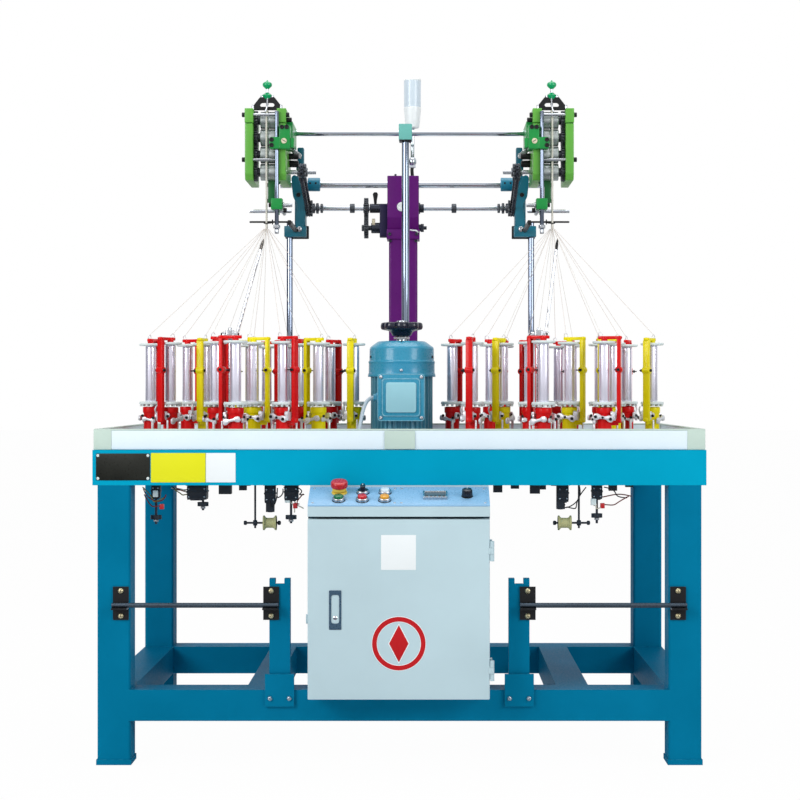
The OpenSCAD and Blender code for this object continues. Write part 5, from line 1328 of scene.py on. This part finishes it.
def mirror(shapes):
    """The left unit's shapes and their mirror on the right unit, as one."""
    return both(added(shapes))


def nut_cap(h):
    """A turned nut with a dimple in its end."""
    return solid([(5.6, 0), (6.4, 1), (6.4, h), (4, h + 0.6), (3.6, 4)], 20)


def stud(r, h):
    """A plain round head with a worn edge at its foot."""
    return solid([(r, 0), (r + 0.4, 0.6), (r + 0.4, h)], 20)


lime, cast, cast_dark, bolts, bright = [], [], [], [], []
for u, t in ((-56, 21), (29, 23)):
    side = [(PLATE_Y + 9, 1460), (PLATE_Y + 190, 1460), (PLATE_Y + 190, 1609.6), (PLATE_Y, 1609.6), (PLATE_Y, 1476)]
    cap = rounded(PLATE_Y, 1611.6, PLATE_Y + 190, 1650, 3, 3)
    lime += [across(softened(side, 2.5, 3), u, t, 1.4), across(cap, u - 0.8, t + 1.6, 1.4)]
    cast_dark.append(put(block(t - 3, 180, 4, 0.5, 0.3), (u + t / 2, PLATE_Y + 95, 1608.4)))
for z in (1514.3, 1633):
    bright.append(put(rod(8.6, 108, 0.6), (-56, 71.5, z), ALONG_X))
    bolts.append(put(nut_cap(8), (-56, 71.5, z), BACK_X))
bolts += [put(nut_cap(h), (52.5, y, z), ALONG_X) for h, y, z in ((8, 71.5, 1633), (14, 82, 1621))]
cast += [upright(rounded(36.5, 1540, 65, 1603, 3, 3), ROD_Y + 40, 54, 1.6),
         put(block(28, 150, 62, 3, 1.6), (54, 172, 1558)),
         upright(softened([(64, 1544), (74.5, 1544), (75.5, 1569), (64, 1569)], 2, 3), ROD_Y + 20, 30, 1.4),
         upright(softened([(13, 1540), (37.5, 1540), (37.5, 1571), (13, 1571), (10, 1565), (10, 1546)], 3, 3),
                 ROD_Y + 15, 30, 1.8),
         put(block(30, 31, 29, 3, 2), (29.5, ROD_Y, 1380.5)), put(block(10, 18, 26, 2, 1), (29, GUIDE_Y, 1370))]
for u, z, out in ((43.5, 1597, 14), (56.5, 1597, 14), (16.5, 1563.5, 15), (16.5, 1549, 15)):
    bolts.append(put(solid([(5.6, 0), (6, 0.6), (6, 2.6), (3.6, 2.8), (3.2, 1)], 20), (u, ROD_Y - out, z), TO_FRONT))
dial = put(solid([(7.4, 0), (7.4, 1.6), (6, 3), (2, 3.4)], 24), (49, ROD_Y - 14, 1560.5), TO_FRONT)
bolts.append(put(block(10, 1, 1.6, 0.3, 0.3), (49, ROD_Y - 17.6, 1559.8), (0, 30, 0)))
bright += [put(rod(10, 252, 1), (29, ROD_Y + 14, 1395), ALONG_Y), put(rod(9.6, 26, 1), (44, ROD_Y, 1392), ALONG_X),
           put(solid([(8, 0), (8, 4)], 24), (45, ROD_Y, 1392), ALONG_X)]
bolts += [put(stud(5, 7), (15, ROD_Y - 4, 1392), BACK_X), put(stud(6, 9), (46, ROD_Y + 4, 1379), ALONG_X)]
hanger = [(1, 1404), (19, 1404), (19, 1448), (34, 1456), (34, 1466), (1, 1466)]
cast_dark.append(upright(softened(hanger, 2.5, 3), 122, 12, 1.4))
bolts += [put(stud(5, 6), (1, 116, z), BACK_X) for z in (1452, 1410)]
bolts += [put(solid([(r, 0), (r + 0.6, 1), (r + 0.6, h), (r - 2, h + 2)], 24), (51, y, z), ALONG_X)
          for r, h, y, z in ((9, 24, 200, 1519), (8, 26, 176, 1536))]
bright.append(upright(softened([(50, 1558), (56, 1562), (86, 1542), (84, 1532), (78, 1533)], 2, 2), 190, 9, 1))
print("plates and clamps", len(lime + cast))

# %% [markdown]
# A black yoke with a window sits on each unit's caps, and a green knob on its screw presses the
# rollers together. A bent lever comes down the front of it.
# %% Yokes and knobs
YOKE_Z = 1650    # the top of the caps
outer = softened([(-37, 0.6), (37, 0.6), (37, 12), (19, 35), (-19, 35), (-37, 12)], 3, 3)
window = softened([(-17, 9), (17, 9), (20, 14), (15, 20), (-15, 20), (-20, 14)], 3, 3)
jet = [put(holed(outer, window, 12, 1.2), (0, ROLLER_Y + 6, YOKE_Z), TO_FRONT)]
bright += [put(solid([(5.5, 0), (6, 1), (6, 6), (4, 8)], 20), (u, ROLLER_Y, YOKE_Z + 33)) for u in (-12, 12)]
bright += [put(rod(7, 22, 1), (u, ROLLER_Y - 4, YOKE_Z - 8)) for u in (-38, 37)]
bright.append(put(rod(7, 62, 1), (0, ROLLER_Y, YOKE_Z + 14)))
bend = smooth_path([(1, ROLLER_Y - 8, YOKE_Z + 31), (0, ROLLER_Y - 14, YOKE_Z + 8), (-3, ROLLER_Y - 29, YOKE_Z - 9)])
bright.append(tube(bend, [4.4, 4.4, 4.6, 5, 5, 5.4, 5.6, 5.6, 5.4, 5, 5, 4.6, 3], 10, (0, 1, 0)))


def knob_low(w=14.4, h=20):
    """The lower knob: a cone that widens upward, rounded over at the top."""
    return turned([(AXIS, 0), (5.4, 0), (6, 1.5), (w - 1, h * 0.56), (w, h * 0.62), (w - 0.6, h * 0.68),
                   (6.6, h * 0.94), (6, h), (AXIS, h)], 28, 1)


def knob_high(w=12.6, h=23.5):
    """The upper knob: widest at the middle, drawn in to a small tip."""
    return turned([(AXIS, 0), (5, 0), (5.6, 1.5), (w - 3, h * 0.2), (w - 0.4, h * 0.34), (w, h * 0.44), (w, h * 0.58),
                   (w - 2, h * 0.7), (w * 0.5, h * 0.8), (3, h - 4), (1, h)], 28, 1)


knobs = [put(knob_low(), (0, ROLLER_Y, YOKE_Z + 26.5)), put(knob_high(), (0, ROLLER_Y, YOKE_Z + 57))]
print("knobs", 2 * len(knobs))

# %% [markdown]
# Teal arms hang from the upper bar and carry the take-up shaft. Their hubs are bored and turned,
# and a machined ring on each is a little brighter than the paint.
# %% Teal arms
arm = [(50, 1496), (56, 1502), (64, 1498), (75, 1468), (84, 1454), (84, 1362), (62, 1362), (62, 1388), (66, 1404),
       (66, 1424), (55, 1442), (52, 1470)]
teal = [upright(softened(arm, 7, 5), 346, 24, 2), upright(rounded(28.5, 1331, 90, 1361, 2.5, 3), 346, 30, 1.6),
        put(block(30, 66, 150, 4, 2), (72, 361, 1352)),
        on_shaft(turned([(10.05, 0), (19, 0), (19, 30), (10.05, 30)], 36, 1.4), 58, BAR_Z),
        upright(rounded(70, 1495, 88, 1570, 4, 3), 270, 22, 2), put(block(18, 60, 26, 3, 2), (79, 235, 1492))]
collar = [(10.05, 0), (17.8, 0), (19, 1.2), (19, 32.8), (17.8, 34), (10.05, 34)]
hub_ring = on_shaft(turned(collar, 40, 0.8), 91, BAR_Z)
jet.append(upright(rounded(30, 1328, 95, 1364, 2, 3), 362, 14, 1.2))
bolts += [put(solid([(3, 0), (3, 0.8)], 16), (u, BAR_Y - 18.6, BAR_Z + 2), TO_FRONT) for u in (98, 114)]
bolts.append(put(solid([(5.6, 0), (6, 0.6), (6, 1.6)], 20), (68, 322, 1448), TO_FRONT))
bright.append(put(screw_head(15, 4), (71, 316, 1352), TO_FRONT))
piece("takeup_castings", "frame",
      {"lime": mirror(lime), "green_cast": mirror(cast), "green_dark": mirror(cast_dark), "teal": mirror(teal),
       "teal_bright": both(hub_ring), "black_paint": mirror(bolts + jet)}, ["takeup_frames"])
piece("takeup_bright", "frame", {"steel": mirror(bright), "knob_green": mirror(knobs), "cream": both(dial)})
print("castings", len(lime + cast + teal))

# %% [markdown]
# One chain on each unit goes from the take-up shaft up to the bottom roller. Its links follow a
# loop of two straight runs and two half circles, and every second link sits further out. Between
# the units, a pale clamp block on the middle post holds the cross bar.
# %% Chain and cross clamp
run = np.array([BAR_Y - ROLLER_Y, SHAFT_Z - float(ROLLER_Z)])
span, tilt = float(np.hypot(*run)), math.atan2(run[1], run[0])
wheel_r = CHAIN_PITCH / 2 / math.sin(math.pi / CHAIN_TEETH)
loop = 2 * span + 2 * math.pi * wheel_r
count = round(loop / CHAIN_PITCH)


def on_loop(s):
    """The point and the way at a length s round the loop: along one run, round a wheel, back, round the other."""
    if s < span:
        return (s, wheel_r, 0.0)
    s -= span
    if s < math.pi * wheel_r:
        b = math.pi / 2 - s / wheel_r
        return (span + wheel_r * math.cos(b), wheel_r * math.sin(b), b - math.pi / 2)
    s -= math.pi * wheel_r
    if s < span:
        return (span - s, -wheel_r, math.pi)
    b = -math.pi / 2 - (s - span) / wheel_r
    return (wheel_r * math.cos(b), wheel_r * math.sin(b), b - math.pi / 2)


def in_chain(shape):
    """From the loop's own plane to the chain's: tilted to the line of the two wheels and stood in the side view."""
    return put(put(shape, turn=(0, 0, math.degrees(tilt))), (92, ROLLER_Y, ROLLER_Z), (90, 0, 90))


link = prism(rounded(-6.4, -3.6, 6.4, 3.6, 3.4, 1), 2.0, 0.3)
pin = solid([(2.6, -4), (2.6, 4)], 8, 0)
chain = []
for n in range(count):
    y, z, way = on_loop(n / count * loop)
    off = 3.2 if n % 2 else 1.6
    chain += [in_chain(put(link, (y, z, w), (0, 0, math.degrees(way)))) for w in (-off - 2.0, off)]
    chain.append(in_chain(put(pin, (y, z, 0))))
piece("takeup_chains", "frame", {"steel_dark": mirror(chain)})
clamp, pad = put(block(36, 56, 43, 3, 2), (8, 221.5, 1584.5)), put(block(34, 50, 3, 2, 1), (8, 221.5, 1582))
piece("cross_clamp", "frame", {"teal_pale": clamp, "black_paint": pad})
print("chain links", count)

# %% [markdown]
# The rollers are knurled steel with a gear beside each. Neighbours mesh, so every second gear is
# turned by half a tooth, and the rows turn opposite ways.
# %% Rollers
ROLLER_LINE = [(6, 0), (21.6, 0), (22.5, 1.2), (22.5, 22), (22.0, 22.6), (22.0, 23.4), (22.5, 24), (22.5, 44.8),
               (21.6, 46), (6, 46)]
for n, row in enumerate(("bottom", "lower", "upper", "top")):
    def on_row(shape, u, z=ROLLER_Z + ROLLER_STEP * n):
        """Lays a shape along X on this row's axis, from u."""
        return put(shape, (u, ROLLER_Y, z), ALONG_X)

    wheel = put(prism(gear_outline(2.3, 20), 10, 0.6), turn=(0, 0, 9 * (n % 2)))
    cog, axle = [on_row(wheel, -34.6), on_row(rod(24, 5), -24)], [on_row(rod(12, 108, 1), -56)]
    if n == 0:
        axle.append(on_row(rod(11.6, 79, 1.6), 51))
        cog += [on_row(sprocket(), u) for u in (84, 98)]
        cog.append(on_row(turned([(5.8, 0), (11, 0), (12, 1), (12, 26), (11, 27), (5.8, 27)], 28), 80.5))
    name = f"{row}_rollers"
    body = both(on_row(turned(ROLLER_LINE, 48, 0.5), -17.4))
    piece(f"{name}_turned", name, {"roller": body, "gear_iron": mirror(cog), "steel": mirror(axle)},
          [name])
print("roller rows", 4)

# %% [markdown]
# The cabinet. Its shell keeps the frame's solid. The door is a folded pan with a bare white plate
# where the real one has its label, a red ring with a plain lozenge, the latch with its paddle, and
# two hinges. Thin prints are sheets a few tenths of a millimetre proud of the paint.
# %% Cabinet and door
CABINET_Y, CABINET_TOP = -468.5, 629.0
LATCH_X, LATCH_Z, SIGN_Z = -150, 385, 306


def on_door(shape, out=0.0, x=0.0, z=0.0):
    """Stands a shape on the door: its own Y becomes up and its own Z comes forward, from out behind the front."""
    return put(shape, (x, CABINET_Y + out, z), TO_FRONT)


def diamond(wide, high):
    """An upright lozenge with slightly softened corners."""
    return softened([(0, -high), (wide, 0), (0, high), (-wide, 0)], 1.5, 2)


pan = [on_door(prism(rounded(-215, 174, 214, 599, 2.5, 3), 3, 1.0), 3)]
pan += [put(block(3, 18, 421, 0.8, 0.6), (x, CABINET_Y + 11, 176)) for x in (-213.5, 212.5)]
pan += [put(block(424, 18, 3, 0.8, 0.6), (-0.5, CABINET_Y + 11, z)) for z in (175, 595.5)]
for z in (234, 516):
    pan.append(put(turned([(2.6, 0), (5, 0), (5, 15.4), (2.6, 15.4)], 24), (220, CABINET_Y + 2, z)))
    pan.append(put(block(9, 2.4, 15.4, 0.5, 0.4), (215.6, CABINET_Y + 0.4, z)))
case = holed(rounded(-14.5, -46.5, 14.5, 46.5, 2, 3), rounded(-9.4, -31.6, 9.4, 35.8, 6, 3), 2.4, 0.6)
well = prism(rounded(-10, -33, 10, 37, 6, 3), 2, 0.3)
x0, x1, z0, z1 = px_x(381, -100), px_x(416, -100), px_z(570, -100), px_z(535, -100)
plate = prism(softened([(x0, z0), (x1, z0), (x1, z1), (x0, z1)], 1, 2), 0.5, 0.15)
white = [on_door(plate), on_door(holed(circle_points(129, 96), circle_points(101, 96), 0.5, 0.15), z=SIGN_Z),
         on_door(prism(diamond(25.5, 48), 0.45, 0.15), z=SIGN_Z)]
red = [on_door(holed(circle_points(126, 96), circle_points(104, 96), 0.9, 0.2), z=SIGN_Z),
       on_door(prism(diamond(23, 44), 0.8, 0.2), z=SIGN_Z)]
piece("door_pan", "door", {"cabinet_pale": pan, "plate_white": white, "warn_red": red,
                           "latch_case": on_door(case, 0.6, LATCH_X, LATCH_Z),
                           "steel_dark": on_door(well, 13.5, LATCH_X, LATCH_Z)}, ["cabinet_door"])
paddle = [on_door(prism(rounded(-8.6, -30, 8.6, 30, 7, 4), 3.4, 1.2), 5.4, LATCH_X, LATCH_Z),
          on_door(solid([(6, 0), (6, 2), (3, 3.6)], 24, top=3.8), 2.4, LATCH_X, LATCH_Z - 19),
          put(block(15, 1.8, 5, 0.6, 0.5), (LATCH_X, CABINET_Y + 1.6, LATCH_Z - 14)),
          put(rod(4, 28), (LATCH_X - 14, CABINET_Y + 5.4, LATCH_Z + 31), ALONG_X)]
piece("latch_paddle", "latch", {"chrome": paddle}, ["door_latch"])
# A dark strip and a dark sheet behind the door's top edge: painted shade that darkens the gap between the door and
# the cabinet.
gap_shade_pieces = [put(block(430, 1.2, 4.5, 0.4, 0.3), (0, CABINET_Y + 20.4, 600)),
        put(block(420, 16, 1, 0.4, 0.3), (0, CABINET_Y + 30, 602))]
piece("door_gap_shade", "frame", {"seam_dark": gap_shade_pieces})
print("door made")

# %% [markdown]
# The sloping panel carries the controls. Every button sits in a bright bezel with a dark seat, and
# its cap shows the colour. All of them are shapes of revolution, stood on the slope by one helper.
# %% Panel and controls
RISE, BACK = 38, 100    # the panel's slope goes up 38 mm and back 100
SLOPE, RUN = math.degrees(math.atan2(RISE, BACK)), math.hypot(RISE, BACK)
GREEN_X, RED_X, AMBER_X, SCREEN_X, SPEED_X = -143, -87, -34, 86, 162
LOW_ROW, MID_ROW, HIGH_ROW = 26, 50, 70


def on_slope(shape):
    """From the panel's own plane to its slope on top of the cabinet."""
    return put(shape, (0, CABINET_Y, CABINET_TOP), (SLOPE, 0, 0))


def on_panel(shape, x, way):
    """Stands a shape on the panel: x across, way up the slope, its own Z out of the panel."""
    return put(put(shape, (0, way, 4)), (x, CABINET_Y, CABINET_TOP), (SLOPE, 0, 0))


def stem(deep):
    """The black stem of a control, which goes this deep into the panel."""
    return put(rod(12, 25), (0, 0, -deep))


sheet = [on_slope(prism(rounded(-215, 0, 215, RUN, 2, 3), 3.9, 0.8)),
         on_slope(prism(rounded(-208, 6, 208, RUN - 6, 3, 3), 4.3, 0.2))]
bezel = turned([(6.1, 1), (14, 1), (15, 2.2), (15, 6.4), (14, 8.2), (11.7, 8.6), (11.3, 6), (6.1, 6)], 32)
under = turned([(6.1, -0.1), (15.8, -0.1), (15.8, 1.6), (6.1, 1.6)], 32, 0.2)
holes = ((GREEN_X, LOW_ROW), (RED_X, LOW_ROW), (AMBER_X, LOW_ROW), (RED_X, HIGH_ROW), (AMBER_X, HIGH_ROW))
bezels = [on_panel(bezel, x, way) for x, way in holes]
seats = [on_panel(under, x, way) for x, way in holes]
collar = on_panel(turned([(6.1, 0), (18, 0), (19, 1), (18, 4.2), (13, 5.4), (6.1, 5.4)], 36), GREEN_X, HIGH_ROW)
white_cap = on_panel(solid([(11, 3), (11, 10), (9, 12)], 32, 1.2, top=12.4), AMBER_X, HIGH_ROW)
window = holed(rounded(-29, -19, 29, 19, 2, 3), rounded(-25, -12, 25, 15, 1, 3), 7, 1)
bezels.append(on_panel(window, SCREEN_X, MID_ROW))
screws = [on_panel(solid([(3, 0), (3, 0.8), (1.6, 1.6)], 16, 0.2), x, way)
          for x in (-204, -10, 6, 204) for way in (12, RUN - 12)]
screen = on_panel(prism(rounded(-25.4, -12.4, 25.4, 15.4, 1, 2), 4, 0.3), SCREEN_X, MID_ROW)
seats.append(on_panel(turned([(6.1, 0), (14, 0), (14, 1.4), (6.1, 1.8)], 32), SPEED_X, MID_ROW))
keys = [on_panel(put(block(6, 4, 2, 0.6, 0.5), (x, -15.2, 6.4)), SCREEN_X, MID_ROW) for x in (-20, -10, 0, 10, 20)]
piece("panel_sheet", "frame", {"panel_blue": sheet, "lens_white": white_cap, "steel": bezels + screws,
                               "black_paint": seats + keys, "collar_yellow": collar, "screen_dark": screen},
      ["control_panel"])
cap = solid([(9.6, 7), (11, 8), (11, 12.6), (9.8, 14)], 32, 0.8, top=14.4)
for name, mat, dye, x in (("green", "green_gloss", "green", GREEN_X), ("red", "red_gloss", "red", RED_X),
                          ("yellow", "amber_gloss", "amber", AMBER_X)):
    piece(f"{name}_button_cap", name, {mat: on_panel(cap, x, LOW_ROW), "black_paint": on_panel(stem(16), x, LOW_ROW)},
          [f"{name}_button"])
mushroom = solid([(18, 15.4), (20, 17), (20.4, 20), (20.4, 27), (18.8, 30), (14, 31.2)], 48, 1.2, top=31.6)
skirt = solid([(16, 7.5), (17, 9), (16.4, 15.6)], 36, 0.8)
piece("stop_button_head", "estop",
      {mat: on_panel(shape, GREEN_X, HIGH_ROW)
       for mat, shape in (("red_gloss", mushroom), ("collar_yellow", skirt), ("black_paint", stem(16)))},
      ["estop_button"])
print("panel and buttons made")

# %% [markdown]
# The selector is a short lever on a round base, with a white mark at its tip. The speed knob is
# fluted all round and has a white mark too. Both turn about their stems.
# %% Selector and speed knob
grip = prism(softened([(-5.6, -11), (5.6, -11), (6.4, 0), (4.6, 11), (-4.6, 11), (-6.4, 0)], 2, 3), 15, 1.4)
base = solid([(10.8, 5.5), (10.8, 8), (9, 9.6)], 32, top=9.8)
mark = put(block(1.6, 8, 0.6, 0.3, 0.1), (0, 5, 20.4))
piece("selector_lever", "selector",
      {"knob_black": [on_panel(shape, RED_X, HIGH_ROW) for shape in (put(grip, (0, 0, 5.6)), base, stem(18))],
       "plate_white": on_panel(mark, RED_X, HIGH_ROW)}, ["mode_selector"])


def fluted(d, h, flutes=18, deep=0.7):
    """A knob whose radius is R - deep |sin(n a / 2)|, drawn in at the top."""
    a = np.arange(72) / 72 * 2 * np.pi
    z = np.array([0, 1.2, h - 2, h - 0.6, h])
    k = np.array([0.98, 1, 0.93, 0.88, 0.8])[:, None]
    r = k * (d / 2 - deep * np.abs(np.sin(flutes * a / 2)))[None]
    return rings(polar(r, a, z[:, None]))


mark = put(block(1.4, 7, 0.5, 0.3, 0.1), (0, 7, 18.8))
piece("speed_knob_fluted", "speed",
      {"knob_black": [on_panel(shape, SPEED_X, MID_ROW) for shape in (put(fluted(26, 16), (0, 0, 2.9)), stem(16))],
       "plate_white": on_panel(mark, SPEED_X, MID_ROW)}, ["speed_knob"])
print("controls made")

# %% [markdown]
# The floor is a plain pale sheet, far larger than the view. It is part of the stage, not of the
# machine.
# %% Floor
ground = bpy.data.materials.new("pale_floor")
ground.use_nodes = True
t = ground.node_tree
matt = t.nodes["Principled BSDF"]
matt.inputs["Base Color"].default_value = (0.86, 0.87, 0.88, 1)
matt.inputs["Roughness"].default_value = 0.9
glow = node(t, "Emission", Strength=1.0)
lift = node(t, "Math", operation="MULTIPLY", i1=0.98)
both_looks = node(t, "MixShader")
t.links.new(node(t, "LightPath").outputs["Is Camera Ray"], lift.inputs[0])
t.links.new(lift.outputs[0], both_looks.inputs[0])
t.links.new(matt.outputs[0], both_looks.inputs[1])
t.links.new(glow.outputs[0], both_looks.inputs[2])
t.links.new(both_looks.outputs[0], t.nodes["Material Output"].inputs["Surface"])
flat_sheet("floor", [(-30, -12, 0), (30, -12, 0), (30, 40, 0), (-30, 40, 0)], ground)
